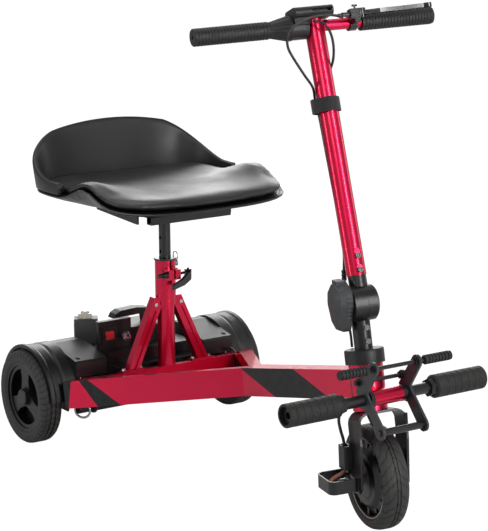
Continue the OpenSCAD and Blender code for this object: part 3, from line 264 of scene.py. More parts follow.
class Look:
    """A Principled material built up from a few named parts."""

    def __init__(self, name, color, rough, metal=0.0, **sockets):
        self.mat = bpy.data.materials.new(name)
        self.mat.use_nodes = True
        self.tree = self.mat.node_tree
        self.bsdf = self.tree.nodes["Principled BSDF"]
        self.bsdf.inputs["Base Color"].default_value = color
        self.bsdf.inputs["Roughness"].default_value = rough
        self.bsdf.inputs["Metallic"].default_value = metal
        for key, value in sockets.items():
            self.bsdf.inputs[key.replace("_", " ")].default_value = value
        self.color, self.rough = color, rough
        self.height = None
        self.coord = self.tree.nodes.new("ShaderNodeTexCoord").outputs["Object"]

    def node(self, kind, **props):
        n = self.tree.nodes.new("ShaderNode" + kind)
        for k, v in props.items():
            setattr(n, k, v)
        return n

    def link(self, a, b):
        self.tree.links.new(a, b)

    def math(self, op, a, b=None, clamp=False):
        n = self.node("Math", operation=op, use_clamp=clamp)
        for i, v in enumerate((a, b)):
            if v is None:
                continue
            if isinstance(v, (int, float)):
                n.inputs[i].default_value = v
            else:
                self.link(v, n.inputs[i])
        return n.outputs[0]

    def noise(self, scale, detail=3.0, roughness=0.55, vector=None):
        n = self.node("TexNoise")
        n.inputs["Scale"].default_value = scale
        n.inputs["Detail"].default_value = detail
        n.inputs["Roughness"].default_value = roughness
        self.link(vector or self.coord, n.inputs["Vector"])
        return n.outputs["Fac"]

    def cells(self, scale, feature="F1", vector=None):
        n = self.node("TexVoronoi", feature=feature)
        n.inputs["Scale"].default_value = scale
        self.link(vector or self.coord, n.inputs["Vector"])
        return n.outputs["Distance"]

    def xyz(self):
        n = self.node("SeparateXYZ")
        self.link(self.coord, n.inputs[0])
        return n.outputs

    def span(self, fac, lo, hi, a=0.0, b=1.0):
        n = self.node("MapRange")
        n.inputs["From Min"].default_value = lo
        n.inputs["From Max"].default_value = hi
        n.inputs["To Min"].default_value = a
        n.inputs["To Max"].default_value = b
        self.link(fac, n.inputs["Value"])
        return n.outputs["Result"]

    def mix(self, fac, a, b):
        n = self.node("Mix", data_type="RGBA")
        self.link(fac, n.inputs[0])
        for i, v in ((6, a), (7, b)):
            if isinstance(v, tuple):
                n.inputs[i].default_value = v
            else:
                self.link(v, n.inputs[i])
        return n.outputs[2]

    def colour(self, out):
        self.link(out, self.bsdf.inputs["Base Color"])
        self.color = out
        return self

    def vary(self, scale, amount, rough_amount=0.0):
        """Colour and roughness that drift by a noise of that scale."""
        f = self.noise(scale)
        tint = tuple(min(1.0, c * (1 + amount)) for c in self.color[:3]) + (1.0,)
        deep = tuple(c * (1 - amount) for c in self.color[:3]) + (1.0,)
        self.colour(self.mix(self.span(f, 0.3, 0.7), deep, tint))
        if rough_amount:
            self.link(
                self.span(f, 0.3, 0.7, self.rough - rough_amount, self.rough + rough_amount),
                self.bsdf.inputs["Roughness"],
            )
        return self

    def bump(self, out, distance, strength=1.0):
        """Adds a height, in metres, to the bump."""
        n = self.node("Bump")
        n.inputs["Strength"].default_value = strength
        n.inputs["Distance"].default_value = distance
        self.link(out, n.inputs["Height"])
        if self.height is not None:
            self.link(self.height, n.inputs["Normal"])
        self.height = n.outputs["Normal"]
        self.link(self.height, self.bsdf.inputs["Normal"])
        return self


def dress(mat, *names):
    for name in names:
        ob = NODES[name] if isinstance(name, str) else name
        ob.data.materials.clear()
        ob.data.materials.append(mat.mat)


CRIMSON = srgb(212, 20, 66)
crimson = Look("crimson_paint", CRIMSON, 0.30, 0.85, Coat_Weight=0.32, Coat_Roughness=0.05)
crimson.vary(9, 0.05, 0.04).bump(crimson.noise(420, 2), 0.00012, 0.25)


def band_paint(name, lines):
    """Crimson paint with plain black slanted fields on the upright sides, each between two
    lines y + slope * z, in mm in the row frame."""
    look = Look(name, CRIMSON, 0.30, 0.85, Coat_Weight=0.32, Coat_Roughness=0.05)
    y, z = look.xyz()[1:]
    total = None
    for slope_lo, lo, slope_hi, hi in lines:
        front = look.math("ADD", y, look.math("MULTIPLY", z, slope_lo))
        rear = look.math("ADD", y, look.math("MULTIPLY", z, slope_hi))
        inside = look.math(
            "MULTIPLY",
            look.math("GREATER_THAN", front, lo * MM),
            look.math("LESS_THAN", rear, hi * MM),
        )
        total = inside if total is None else look.math("MAXIMUM", total, inside)
    normal = look.node("SeparateXYZ")
    look.link(look.node("NewGeometry").outputs["Normal"], normal.inputs[0])
    upright = look.math("LESS_THAN", look.math("ABSOLUTE", normal.outputs[2]), 0.5)
    total = look.math("MULTIPLY", total, upright)
    f = look.noise(9)
    deep = tuple(c * 0.95 for c in CRIMSON[:3]) + (1.0,)
    tint = tuple(c * 1.05 for c in CRIMSON[:3]) + (1.0,)
    paint = look.mix(look.span(f, 0.3, 0.7), deep, tint)
    field_black = look.mix(look.span(look.noise(60), 0.3, 0.7), srgb(24, 26, 27), srgb(38, 40, 41))
    look.colour(look.mix(total, paint, field_black))
    look.link(look.span(total, 0, 1, 0.26, 0.42), look.bsdf.inputs["Roughness"])
    return look.bump(look.noise(420, 2), 0.00012, 0.25)


black_paint = Look("black_paint", srgb(14, 14, 16), 0.34, Coat_Weight=0.25, Coat_Roughness=0.2)
black_paint.vary(14, 0.12, 0.05).bump(black_paint.noise(900, 3), 0.00012, 0.4)

dark_paint = Look("dark_paint", srgb(7, 7, 8), 0.36, Coat_Weight=0.12, Coat_Roughness=0.25)
dark_paint.vary(14, 0.12, 0.05).bump(dark_paint.noise(900, 3), 0.00012, 0.4)

grey_paint = Look("bracket_paint", srgb(44, 46, 49), 0.42, Coat_Weight=0.2, Coat_Roughness=0.3)
grey_paint.vary(16, 0.1, 0.06).bump(grey_paint.noise(900, 3), 0.00012, 0.4)

plastic = Look("moulded_black", srgb(15, 15, 17), 0.40)
plastic.vary(11, 0.12, 0.05).bump(plastic.cells(1500), 0.00022, 0.5)

gloss_plastic = Look("gloss_black", srgb(18, 18, 20), 0.16, Coat_Weight=0.5, Coat_Roughness=0.05)
gloss_plastic.vary(14, 0.12, 0.04).bump(gloss_plastic.noise(500, 2), 0.0001, 0.2)

dial_grey = Look("lever_grey", srgb(58, 59, 61), 0.5)
dial_grey.vary(14, 0.1, 0.05).bump(dial_grey.cells(1300), 0.0003, 0.6)

case_grey = Look("case_grey", srgb(82, 81, 82), 0.45)
case_grey.vary(14, 0.08, 0.05).bump(case_grey.cells(1400), 0.00025, 0.5)

lamp_white = Look("lamp_white", srgb(232, 226, 214), 0.28, Transmission_Weight=0.25)
lamp_white.vary(30, 0.04, 0.04).bump(lamp_white.noise(260), 0.0002, 0.4)

rocker_red = Look("rocker_red", srgb(196, 28, 36), 0.3)
rocker_red.vary(60, 0.08, 0.05).bump(rocker_red.noise(500), 0.0001, 0.3)

rubber = Look("grip_rubber", srgb(21, 21, 22), 0.55)
rubber.vary(20, 0.16, 0.07).bump(rubber.noise(1400, 4), 0.0003, 0.6)

peg_rubber = Look("peg_foam", srgb(20, 19, 18), 0.62)
peg_rubber.vary(26, 0.25, 0.06).bump(peg_rubber.noise(700, 5), 0.0006, 0.7)
peg_rubber.bump(peg_rubber.cells(230), 0.0012, 0.5)

steel = Look("bright_steel", srgb(196, 198, 201), 0.28, 1.0)
steel.vary(80, 0.08, 0.1).bump(steel.noise(1200, 3), 0.0001, 0.3)

sheath = Look("cable_sheath", srgb(20, 20, 21), 0.4)
sheath.vary(30, 0.15, 0.06).bump(sheath.noise(900), 0.0002, 0.4)

brown_sheath = Look("brown_sheath", srgb(140, 86, 64), 0.5)
brown_sheath.vary(60, 0.18, 0.08).bump(brown_sheath.noise(900), 0.0002, 0.4)

webbing = Look("hook_and_loop", srgb(22, 22, 23), 0.85, Sheen_Weight=0.3)
webbing.vary(40, 0.2, 0.05).bump(webbing.cells(1100), 0.0006, 0.9)

thread = Look("seat_thread", srgb(34, 34, 36), 0.7)
thread.vary(200, 0.2).bump(thread.noise(2000), 0.0002, 0.6)

vinyl = Look("seat_vinyl", srgb(24, 24, 26), 0.44, Coat_Weight=0.12, Coat_Roughness=0.38)
vinyl.vary(12, 0.14, 0.07)
vinyl.bump(vinyl.noise(16, 4), 0.0022, 0.35)
vinyl.bump(vinyl.cells(620, "DISTANCE_TO_EDGE"), 0.0004, 0.35)

shell_plastic = Look("shell_plastic", srgb(24, 24, 26), 0.36)
shell_plastic.vary(10, 0.12, 0.05).bump(shell_plastic.cells(1200), 0.0002, 0.4)


def tyre_look(name, centre, axis_x, blocks):
    """Tread and side wall from the angle round the wheel and the distance across it."""
    look = Look(name, srgb(34, 33, 33), 0.62)
    mapping = look.node("Mapping", vector_type="TEXTURE")
    mapping.inputs["Location"].default_value = centre
    mapping.inputs["Rotation"].default_value = axis_x
    look.link(look.coord, mapping.inputs["Vector"])
    sep = look.node("SeparateXYZ")
    look.link(mapping.outputs[0], sep.inputs[0])
    x, y, z = sep.outputs
    angle = look.math("ARCTAN2", y, z)
    squares = look.math("ADD", look.math("MULTIPLY", y, y), look.math("MULTIPLY", z, z))
    radius = look.math("SQRT", squares)
    across = look.math("ABSOLUTE", x)
    tread = look.span(radius, 0.0865, 0.0885)

    def near(value, middle, reach):
        return look.math(
            "LESS_THAN", look.math("ABSOLUTE", look.math("SUBTRACT", value, middle)), reach)

    if blocks:
        slant = look.math("MULTIPLY", across, 26.0)
        turn = look.math("ADD", look.math("MULTIPLY", angle, 46.0 / (2 * math.pi)), slant)
        saw = look.math("FRACT", turn)
        groove = near(saw, 0.5, 0.13)
        lines = look.math("MAXIMUM", near(across, 0.007, 0.0012), near(across, 0.0155, 0.0010))
        cut = look.math("MAXIMUM", groove, lines)
        cut = look.math("MULTIPLY", cut, tread)
    else:
        wobble = look.math("MULTIPLY", look.math("SUBTRACT", look.noise(34, 2), 0.5), 1.6)
        turn = look.math("ADD", look.math("MULTIPLY", angle, 30.0 / (2 * math.pi)), wobble)
        turn = look.math("ADD", turn, look.math("MULTIPLY", across, 50.0))
        saw = look.math("ABSOLUTE", look.math("SUBTRACT", look.math("FRACT", turn), 0.5))
        cut = look.math("MULTIPLY", look.math("LESS_THAN", saw, 0.09), tread)
    worn = look.mix(look.noise(30), srgb(31, 31, 31), srgb(54, 52, 50))
    # the cuts of the tread are coloured near black, a painted shade in the grooves
    look.colour(look.mix(cut, worn, srgb(6, 6, 6)))
    look.bump(look.math("SUBTRACT", 1.0, cut), 0.0022, 1.0)
    rings = look.math("SINE", look.math("MULTIPLY", radius, 2600.0))
    side = look.math("MULTIPLY", rings, look.math("SUBTRACT", 1.0, tread))
    look.bump(side, 0.0002, 0.35)
    return look.bump(look.noise(1500, 3), 0.0002, 0.4)


def steered_euler():
    return STEERED.to_3x3().to_euler()


rear_right_tyre = tyre_look("tyre_rear_right", at((-WHEEL_X, 0, WHEEL_R)), (0, 0, 0), True)
rear_left_tyre = tyre_look("tyre_rear_left", at((WHEEL_X, 0, WHEEL_R)), (0, 0, 0), True)
front_centre = at((6.0, -WHEELBASE, WHEEL_R), STEERED)
front_tyre_look = tyre_look("tyre_front", front_centre, steered_euler(), False)

spine_paint = band_paint("crimson_spine", [(-3.93, -1279, -3.93, -938)])
# the second field paints the arms plain black from y 306 mm of the row frame rearwards
arm_paint = band_paint("crimson_arm", [(-1.676, -9, -0.9, 143), (0, 306, 0, 999)])

dress(crimson, "crossbeam", "head_tube", "mast", "mast_struts", "tiller")
dress(spine_paint, "spine")
dress(arm_paint, "frame_arm_right", "frame_arm_left")
dress(black_paint, "rear_axles", "battery_tray", "mast_clamp", "foot_peg_tube", "bracket_rods",
      "seat_post", "seat_bracket")
dress(dark_paint, "fork", "fold_knuckle", "guard_loop", "hub_motor", "upper_yoke")
dress(grey_paint, "front_bracket")
dress(plastic, "rear_wheel_right", "rear_wheel_left", "hub_cap_right", "hub_cap_left",
      "fender_right", "fender_left", "wheel_cover_right", "wheel_cover_left", "battery_dock",
      "battery_pack", "battery_handle", "headset_cover", "cable_pouch", "throttle_pod")
dress(gloss_plastic, "brake_bracket", "brake_lever", "clamp_lever")
dress(dial_grey, "fold_lever")
dress(case_grey, "controller_box")
dress(lamp_white, "lamp_dome")
dress(rocker_red, "power_switch")
dress(rubber, "grips", "throttle", "bracket_grips")
dress(peg_rubber, "foot_peg_sleeves")
dress(steel, "frame_screws", "tie_ring", "switch_key", "seat_pin", "motor_axle")
dress(shell_plastic, "seat_shell")
dress(rear_right_tyre, "rear_tyre_right")
dress(rear_left_tyre, "rear_tyre_left")
dress(front_tyre_look, "front_tyre")


# ---------- cords ----------
CORDS = set()


def cord(name, route, radius, body, node, look, m=None):
    points = [at(p, m) for p in route]
    path = spline(points, 0.005)
    ob = sweep(name, path, radius * MM, 14)
    CORDS.add(ob.name)
    dress(look, ob)
    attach(ob, body)
    if node:
        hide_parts(node)
    return ob


BRAKE_ROUTE = [
    (36, 147, 960), (16, 153, 966), (-20, 155, 966), (-56, 155, 955), (-74, 155, 938),
    (-76, 155, 915), (-66, 155, 893), (-44, 156, 858), (-26, 160, 832), (-17.5, 169.7, 805.1),
    (-12.8, 161.8, 768.7), (-11, 142.4, 708.8), (-8.9, 116, 629.3), (-8.2, 92.4, 559.8),
    (-8, 83, 525), (-8, 85, 488),
]
THROTTLE_ROUTE = [
    (-20, 158, 958), (0, 162, 952), (14, 163, 936), (21, 163, 910), (20, 164, 880),
    (14, 174, 850), (6, 170, 818), (0, 164, 796),
]
TAIL_ROUTE = [(-8, 85, 472), (-8, 84.5, 458), (-8, 81.5, 444), (-8, 77.5, 430)]
MOTOR_LEAD = [
    (-53.5, 6, 131), (-53.5, 5, 124), (-62, 8, 116), (-77, 12, 108), (-85, 9, 103),
    (-83, 2, 101), (-71.3, 0, 101.5),
]
POUCH_LEAD = [
    (-22, 64, 240), (-35, 55, 231), (-50, 38, 215), (-55, 22, 200), (-54, 10, 178),
    (-53.5, 7, 150),
]
HEAD_LEAD = [(-16, 76, 423), (-15, 72, 408), (-12, 67, 392), (-9, 62, 372), (-8, 59, 345)]
LEFT_ROUTE = [
    (176, -103.4, 164), (176, -108, 164), (179, -118, 168), (180, -128, 168), (180, -140, 165),
    (176, -154, 158), (173, -163, 145), (171, -167, 128), (171, -166, 112),
]
# routes of the front end are measured from the point under its wheel
CONTACT = STEERED @ Matrix.Translation((0, -WHEELBASE, 0))

cord("brake_cable", BRAKE_ROUTE, 2.5, "tiller", "tiller_cables", sheath, CONTACT)
cord("throttle_cable", THROTTLE_ROUTE, 2.5, "tiller", None, sheath, CONTACT)
cord("tail_lead", TAIL_ROUTE, 2.5, "tiller", None, sheath, CONTACT)
cord("motor_lead", MOTOR_LEAD, 3.5, "steering", "motor_cable", brown_sheath,
     CONTACT)
cord("pouch_lead", POUCH_LEAD, 3.0, "steering", None, sheath, CONTACT)
cord("head_lead", HEAD_LEAD, 2.5, "steering", None, sheath, CONTACT)
cord("left_lead", LEFT_ROUTE, 2.5, "chassis", "left_cable", sheath)


# ---------- seat ----------
def edge(k):
    c, s = abs(math.cos(k)) / SEAT_A, abs(math.sin(k)) / SEAT_B
    return 1 / (c ** SEAT_N + s ** SEAT_N) ** (1 / SEAT_N)


def ease(t):
    t = min(max(t, 0.0), 1.0)
    return t * t * (3 - 2 * t)


def from_back(k):
    d = math.degrees(k) - 90
    return abs(d - 360 * round(d / 360))


def saddle(x, y):
    return min(abs(x) / 218, 1.08) ** 2.6 * (10 + 29 * math.exp(-(((y + 190) / 62) ** 2)))


def pan(p, k, inset, shrink=0.0):
    r = max(p[0] * (edge(k) - shrink - inset * ease((88 - from_back(k)) / 12)), 0.01)
    x, y = r * math.cos(k), SEAT_Y + r * math.sin(k)
    return (x, y, SEAT_TOP + p[1] + p[2] * saddle(x, y))


def pad_object(name, profile, inset, steps, shrink):
    verts = [at((0, SEAT_Y, SEAT_TOP + profile[0][1]))]
    for p in profile:
        for j in range(steps):
            verts.append(at(pan(p, 2 * math.pi * j / steps, inset, shrink)))
    verts.append(at((0, SEAT_Y, SEAT_TOP + profile[-1][1])))
    last = len(verts) - 1
    faces = [(0, 1 + j, 1 + (j + 1) % steps) for j in range(steps)]
    for i in range(len(profile) - 1):
        a, b = 1 + i * steps, 1 + (i + 1) * steps
        for j in range(steps):
            c = (j + 1) % steps
            faces.append((b + j, b + c, a + c, a + j))
    faces += [(last, last - steps + (j + 1) % steps, last - steps + j) for j in range(steps)]
    return new_object(name, verts, faces)


def inflate(ob, voxel, pressure, cap, frames=20):
    """Remesh, blow up with Cloth, cap how far each point may move, smooth and subdivide."""
    bpy.context.view_layer.objects.active = ob
    remesh = ob.modifiers.new("voxel", "REMESH")
    remesh.mode = "VOXEL"
    remesh.voxel_size = voxel
    bpy.ops.object.modifier_apply(modifier=remesh.name)
    start = np.array([v.co[:] for v in ob.data.vertices])
    cloth = ob.modifiers.new("cloth", "CLOTH")
    s = cloth.settings
    s.quality = 5
    s.mass = 0.3
    s.tension_stiffness = s.compression_stiffness = 22
    s.bending_stiffness = 3
    s.use_pressure = True
    s.uniform_pressure_force = pressure
    s.effector_weights.gravity = 0
    cloth.point_cache.frame_start = 1
    cloth.point_cache.frame_end = frames
    scene = bpy.context.scene
    for f in range(1, frames + 1):
        scene.frame_set(f)
    grid = bpy.context.evaluated_depsgraph_get()
    shape = ob.evaluated_get(grid).to_mesh()
    moved = np.array([v.co[:] for v in shape.vertices])
    ob.evaluated_get(grid).to_mesh_clear()
    ob.modifiers.remove(cloth)
    scene.frame_set(1)
    step = moved - start
    far = np.linalg.norm(step, axis=1, keepdims=True)
    step *= np.minimum(1.0, cap / np.maximum(far, 1e-9))
    start = start + step
    for v, co in zip(ob.data.vertices, start):
        v.co = co
    ease_out = ob.modifiers.new("ease", "SMOOTH")
    ease_out.factor = 0.5
    ease_out.iterations = 14
    bpy.ops.object.modifier_apply(modifier=ease_out.name)
    sub = ob.modifiers.new("smooth", "SUBSURF")
    sub.levels = sub.render_levels = 1
    bpy.ops.object.modifier_apply(modifier=sub.name)
    ob.data.polygons.foreach_set("use_smooth", [True] * len(ob.data.polygons))


CUSHION_PROFILE = [
    (0.25, 0, 1), (0.5, 0, 1), (0.72, 0, 1), (0.84, -0.4, 1), (0.91, -1.6, 1), (0.955, -3.4, 1),
    (0.982, -6, 1), (0.996, -9, 1), (1, -12, 1), (0.995, -15, 1), (0.985, -17.5, 1),
    (0.97, -CUSHION_T + 3, 1), (0.7, -CUSHION_T + 3, 1), (0.35, -CUSHION_T + 3, 1),
]
cushion = pad_object("seat_pad", CUSHION_PROFILE, BACK_T + 0.4, 120, 2.5)
inflate(cushion, 0.0055, 4.0, 0.0035)
dress(vinyl, cushion)
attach(cushion, "seat")
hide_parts("seat_cushion")


def crest(x, y):
    rise = min(max((y + 50) / 130, 0), 1) ** 1.8
    return 15 + (BACK_H - 15 - 36 * (x / 211) ** 2) * rise


def band(u, w, k):
    """A point of the backrest: u across its thickness from the rider, w up its height."""
    a = from_back(k)
    x, y = edge(k) * math.cos(k), SEAT_Y + edge(k) * math.sin(k)
    out = edge(k) - BACK_T + u * BACK_T + BACK_LEAN * w * ease((84 - a) / 50)
    low = saddle(x, y) - CUSHION_T + 0.4
    return (out * math.cos(k), SEAT_Y + out * math.sin(k), SEAT_TOP + low + w * (crest(x, y) - low))


def back_section():
    """The closed outline across the backrest: soft front, rolled top, flatter rear."""
    pts = [(0.0, 0.0)]
    for i in range(1, 9):
        w = 0.9 * i / 9
        pts.append((0.10 - 0.10 * math.sin(math.pi * min(w / 0.9, 1.0)), w))
    for i in range(7):
        t = math.pi * (1 - i / 6)
        pts.append((0.5 + 0.42 * math.cos(t), 0.90 + 0.09 * math.sin(t)))
    for i in range(8, -1, -1):
        pts.append((1.0 - 0.05 * (i / 8) ** 3, 0.9 * i / 9))
    return pts


def backrest_object():
    section = back_section()
    n, m = 120, len(section)
    verts, faces = [], []
    for i in range(n + 1):
        k = math.radians(90 - BACK_END + 2 * BACK_END * i / n)
        verts += [at(band(u, w, k)) for u, w in section]
    for i in range(n):
        for j in range(m):
            c = (j + 1) % m
            faces.append((i * m + j, i * m + c, (i + 1) * m + c, (i + 1) * m + j))
    faces.append(tuple(reversed(range(m))))
    faces.append(tuple(n * m + j for j in range(m)))
    return new_object("backrest_pad", verts, faces)


backrest = backrest_object()
dress(vinyl, backrest)
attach(backrest, "seat")
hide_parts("backrest")


def stitches(name, line, normals, length=0.0034, gap=0.0020, radius=0.00045):
    """Short rounded stitches laid end to end along a line of points, standing on its surface."""
    verts, faces = [], []
    left = 0.0
    spans = [(b - a).length for a, b in zip(line, line[1:])]
    total = sum(spans)

    def place(s):
        for a, b, n, d in zip(line, line[1:], normals, spans):
            if s <= d:
                return a + (b - a) * (s / d), (b - a).normalized(), n
            s -= d
        return line[-1], (line[-1] - line[-2]).normalized(), normals[-1]

    while left + length < total:
        base = len(verts)
        for t, k in ((0.0, 0.45), (0.25, 1.0), (0.75, 1.0), (1.0, 0.45)):
            p, d, n = place(left + t * length)
            side = d.cross(n).normalized()
            lift = n * (radius * 0.5 * math.sin(math.pi * t))
            for j in range(6):
                w = 2 * math.pi * j / 6
                verts.append(p + lift + radius * k * (math.cos(w) * side + math.sin(w) * n))
        for r in range(3):
            for j in range(6):
                c = (j + 1) % 6
                q = base + r * 6
                faces.append((q + j, q + c, q + 6 + c, q + 6 + j))
        faces.append(tuple(base + 5 - j for j in range(6)))
        faces.append(tuple(base + 18 + j for j in range(6)))
        left += length + gap
    return new_object(name, verts, faces)


def roll(t):
    """The rolled top of the backrest: t from 180 degrees at the front to 0 at the back."""
    t = math.radians(t)
    return 0.5 + 0.42 * math.cos(t), 0.90 + 0.09 * math.sin(t)


def backrest_line(t, k0, k1, n=240):
    turns = [math.radians(k0 + (k1 - k0) * i / n) for i in range(n + 1)]
    pts = [at(band(*roll(t), k)) for k in turns]
    tilt = [at(band(*roll(t - 8), k)) for k in turns]
    normals = []
    for i in range(n):
        d = (pts[i + 1] - pts[i]).normalized()
        normals.append((tilt[i] - pts[i]).cross(d).normalized())
    inward = at((0, SEAT_Y, 600)) - pts[n // 2]
    if normals[n // 2].dot(inward) < 0:
        normals = [-v for v in normals]
    return pts, normals


def ride_seat(ob, look):
    dress(look, ob)
    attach(ob, "seat")


def roll_at(spot):
    """The turn of the roll, and of the backrest, nearest a place on it."""
    tries = [((at(band(*roll(t), math.radians(k))) - spot).length, t, k)
             for t in range(90, 181, 2) for k in range(60, 131)]
    return min(tries)[1:]


seam_turn, seam_k = roll_at(place("backrest_seam", backrest))
seam_line = backrest_line(seam_turn, 12, 168)[0]
ride_seat(sweep("backrest_seam", seam_line, 0.0007, 6), thread)
for row, turn in (("upper", seam_turn - 16), ("lower", seam_turn + 16)):
    line, normals = backrest_line(turn, 12, 168)
    line = [p + n * 0.0003 for p, n in zip(line, normals + normals[-1:])]
    ride_seat(stitches("backrest_stitches_" + row, line, normals), thread)


# ---------- small pieces ----------
def lathe(name, profile, m, segments=40):
    """A turned piece about the local z axis: profile is (radius, height) in mm."""
    verts, faces = [], []
    for r, z in profile:
        for k in range(segments):
            w = 2 * math.pi * k / segments
            verts.append(at((r * math.cos(w), r * math.sin(w), z), m))
    for i in range(len(profile) - 1):
        for k in range(segments):
            j = (k + 1) % segments
            a, b = i * segments, (i + 1) * segments
            faces.append((a + k, a + j, b + j, b + k))
    if profile[0] != profile[-1]:
        faces.append(tuple(reversed(range(segments))))
        faces.append(tuple((len(profile) - 1) * segments + k for k in range(segments)))
    ob = new_object(name, verts, faces)
    soften(ob, 35)
    return ob


def soften(ob, angle):
    mesh = ob.data
    bm = bmesh.new()
    bm.from_mesh(mesh)
    bmesh.ops.recalc_face_normals(bm, faces=bm.faces)
    for e in bm.edges:
        e.smooth = len(e.link_faces) == 2 and e.calc_face_angle(0) < math.radians(angle)
    bm.to_mesh(mesh)
    bm.free()


def fit(ob, look, body):
    dress(look, ob)
    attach(ob, body)
    return ob


def ribbon(name, outline, z0, z1, thick, m):
    """A strap standing on its edge along a closed outline, z0 to z1 wide, in the frame m."""
    n = len(outline)
    verts, faces = [], []
    for i, p in enumerate(outline):
        a, b = outline[i - 1], outline[(i + 1) % n]
        d = Vector((b[0] - a[0], b[1] - a[1], 0)).normalized()
        out = Vector((d.y, -d.x, 0))
        sag = 0.5 * math.sin(6 * math.pi * i / n)
        for o, z in ((0, z0), (0, z1), (thick, z1), (thick, z0)):
            q = Vector((p[0], p[1], z + sag)) + out * o
            verts.append(at(q, m))
    for i in range(n):
        j = (i + 1) % n
        for k in range(4):
            c = (k + 1) % 4
            faces.append((i * 4 + k, i * 4 + c, j * 4 + c, j * 4 + k))
    ob = new_object(name, verts, faces)
    soften(ob, 40)
    bevel = ob.modifiers.new("round", "BEVEL")
    bevel.width = 0.0005
    bevel.segments = 2
    return ob


def hoop(r, bulge, turn, n=96):
    pts = []
    for i in range(n):
        w = 2 * math.pi * i / n
        k = max(0.0, math.cos(w - math.radians(turn))) ** 1.3
        rr = r + bulge * k
        pts.append((rr * math.cos(w), rr * math.sin(w)))
    return pts


def back_to(p, m):
    """A place of the row frame as a point in mm of the matrix m."""
    return m.inverted() @ Vector((p.x / MM, p.y / MM - AXLE_Y, p.z / MM))


strap_z = back_to(place("strap", NODES["tiller"]), TILLER).z
for name, gap, bulge, turn, half, thick in (
        ("strap_inner", 0.4, 0, 180, 11.5, 1.8), ("strap_loop", 3.2, 8.5, 188, 13.5, 2.0)):
    outline = hoop(TILLER_R + gap, bulge, turn)
    fit(ribbon(name, outline, strap_z - half, strap_z + half, thick, TILLER),
        webbing, "tiller")
JOINT_SLEEVE = STEERED @ Matrix.Translation((-8, -795, 470))
fit(lathe("cable_joint", [
    (3.2, -1), (4.6, 0), (5.0, 1.5), (5.0, 5), (4.4, 6), (4.4, 8), (5.0, 9), (5.0, 12), (4.4, 13),
    (4.4, 15), (5.0, 16), (5.0, 18.5), (4.6, 20), (3.2, 21),
], JOINT_SLEEVE, 28), sheath, "tiller")


def cap_screw(name, m, r, h, body, look=black_paint):
    """A cap screw with a round socket, standing along m's z."""
    ob = lathe(name, [
        (r * 0.2, -1.0), (r, -1.0), (r, h * 0.75), (r * 0.9, h), (r * 0.55, h), (r * 0.5, h - 0.4),
        (r * 0.48, h * 0.3), (r * 0.02, h * 0.28),
    ], m, 30)
    return fit(ob, look, body)


for i, point in enumerate(("stem_screw_lower", "stem_screw_upper")):
    spot = back_to(place(point, NODES["tiller"]), TILLER)
    m = TILLER @ Matrix.Translation((0, -TILLER_R - 2.4, spot.z)) @ Matrix.Rotation(
        math.radians(90), 4, "X")
    cap_screw("stem_screw_%d" % i, m, 6.0, 2.2, "tiller")

WHEEL = STEERED @ Matrix.Translation((6.0, -WHEELBASE, WHEEL_R)) @ Matrix.Rotation(
    math.radians(90), 4, "Y")


def ring(name, r, z, thick, m, segments=120):
    return lathe(name, [
        (r - thick, z), (r - thick * 0.5, z - thick * 0.7), (r + thick * 0.5, z - thick * 0.7),
        (r + thick, z), (r, z + thick * 0.4), (r - thick, z),
    ], m, segments)


# the bright line round the front rim
rim_line = Look("rim_line", srgb(186, 172, 164), 0.4, 0.3)
rim_line.vary(40, 0.1, 0.05).bump(rim_line.noise(600), 0.0001, 0.3)
fit(ring("front_rim_line", 77.6, -21.4, 1.0, WHEEL), rim_line, "front_wheel")

# the closed backs of the rear wheels, 2 mm thick
RIM_IN = REAR_RIM - 4.6
WEB = [(17, -7), (40, -6), (RIM_IN, -7), (RIM_IN, -9), (40, -8), (17, -9), (17, -7)]
for side, sign in (("right", -1), ("left", 1)):
    m = Matrix.Translation((sign * WHEEL_X, 0, WHEEL_R)) @ Matrix.Rotation(
        math.radians(90 * sign), 4, "Y")
    fit(lathe("wheel_web_" + side, WEB, m, 72), plastic, "rear_wheel_" + side)

# ---------- floor, light ----------
def make_stage():
    floor = new_object("floor", [(-9, -9, 0), (9, -9, 0), (9, 9, 0), (-9, 9, 0)], [(0, 1, 2, 3)])
    floor.location.z = -0.0004
    mat = bpy.data.materials.new("pale_floor")
    mat.use_nodes = True
    t = mat.node_tree
    out = t.nodes["Material Output"]
    diffuse = t.nodes["Principled BSDF"]
    diffuse.inputs["Base Color"].default_value = (0.80, 0.80, 0.80, 1)
    diffuse.inputs["Roughness"].default_value = 0.9
    glow = t.nodes.new("ShaderNodeEmission")
    glow.inputs["Color"].default_value = (1, 1, 1, 1)
    glow.inputs["Strength"].default_value = 1.12
    path = t.nodes.new("ShaderNodeLightPath")
    share = t.nodes.new("ShaderNodeMath")
    share.operation = "MULTIPLY"
    share.inputs[1].default_value = 0.9
    t.links.new(path.outputs["Is Camera Ray"], share.inputs[0])
    mix = t.nodes.new("ShaderNodeMixShader")
    t.links.new(share.outputs[0], mix.inputs[0])
    t.links.new(diffuse.outputs[0], mix.inputs[1])
    t.links.new(glow.outputs[0], mix.inputs[2])
    t.links.new(mix.outputs[0], out.inputs["Surface"])
    floor.data.materials.append(mat)
    return floor


def soft_light(name, place, aim, size, power, shape="RECTANGLE", size_y=None):
    data = bpy.data.lights.new(name, "AREA")
    data.shape = shape
    data.size = size
    if size_y:
        data.size_y = size_y
    data.energy = power
    ob = bpy.data.objects.new(name, data)
    ob.location = place
    ob.rotation_euler = (Vector(aim) - Vector(place)).to_track_quat("-Z", "Y").to_euler()
    bpy.context.scene.collection.objects.link(ob)
    return ob


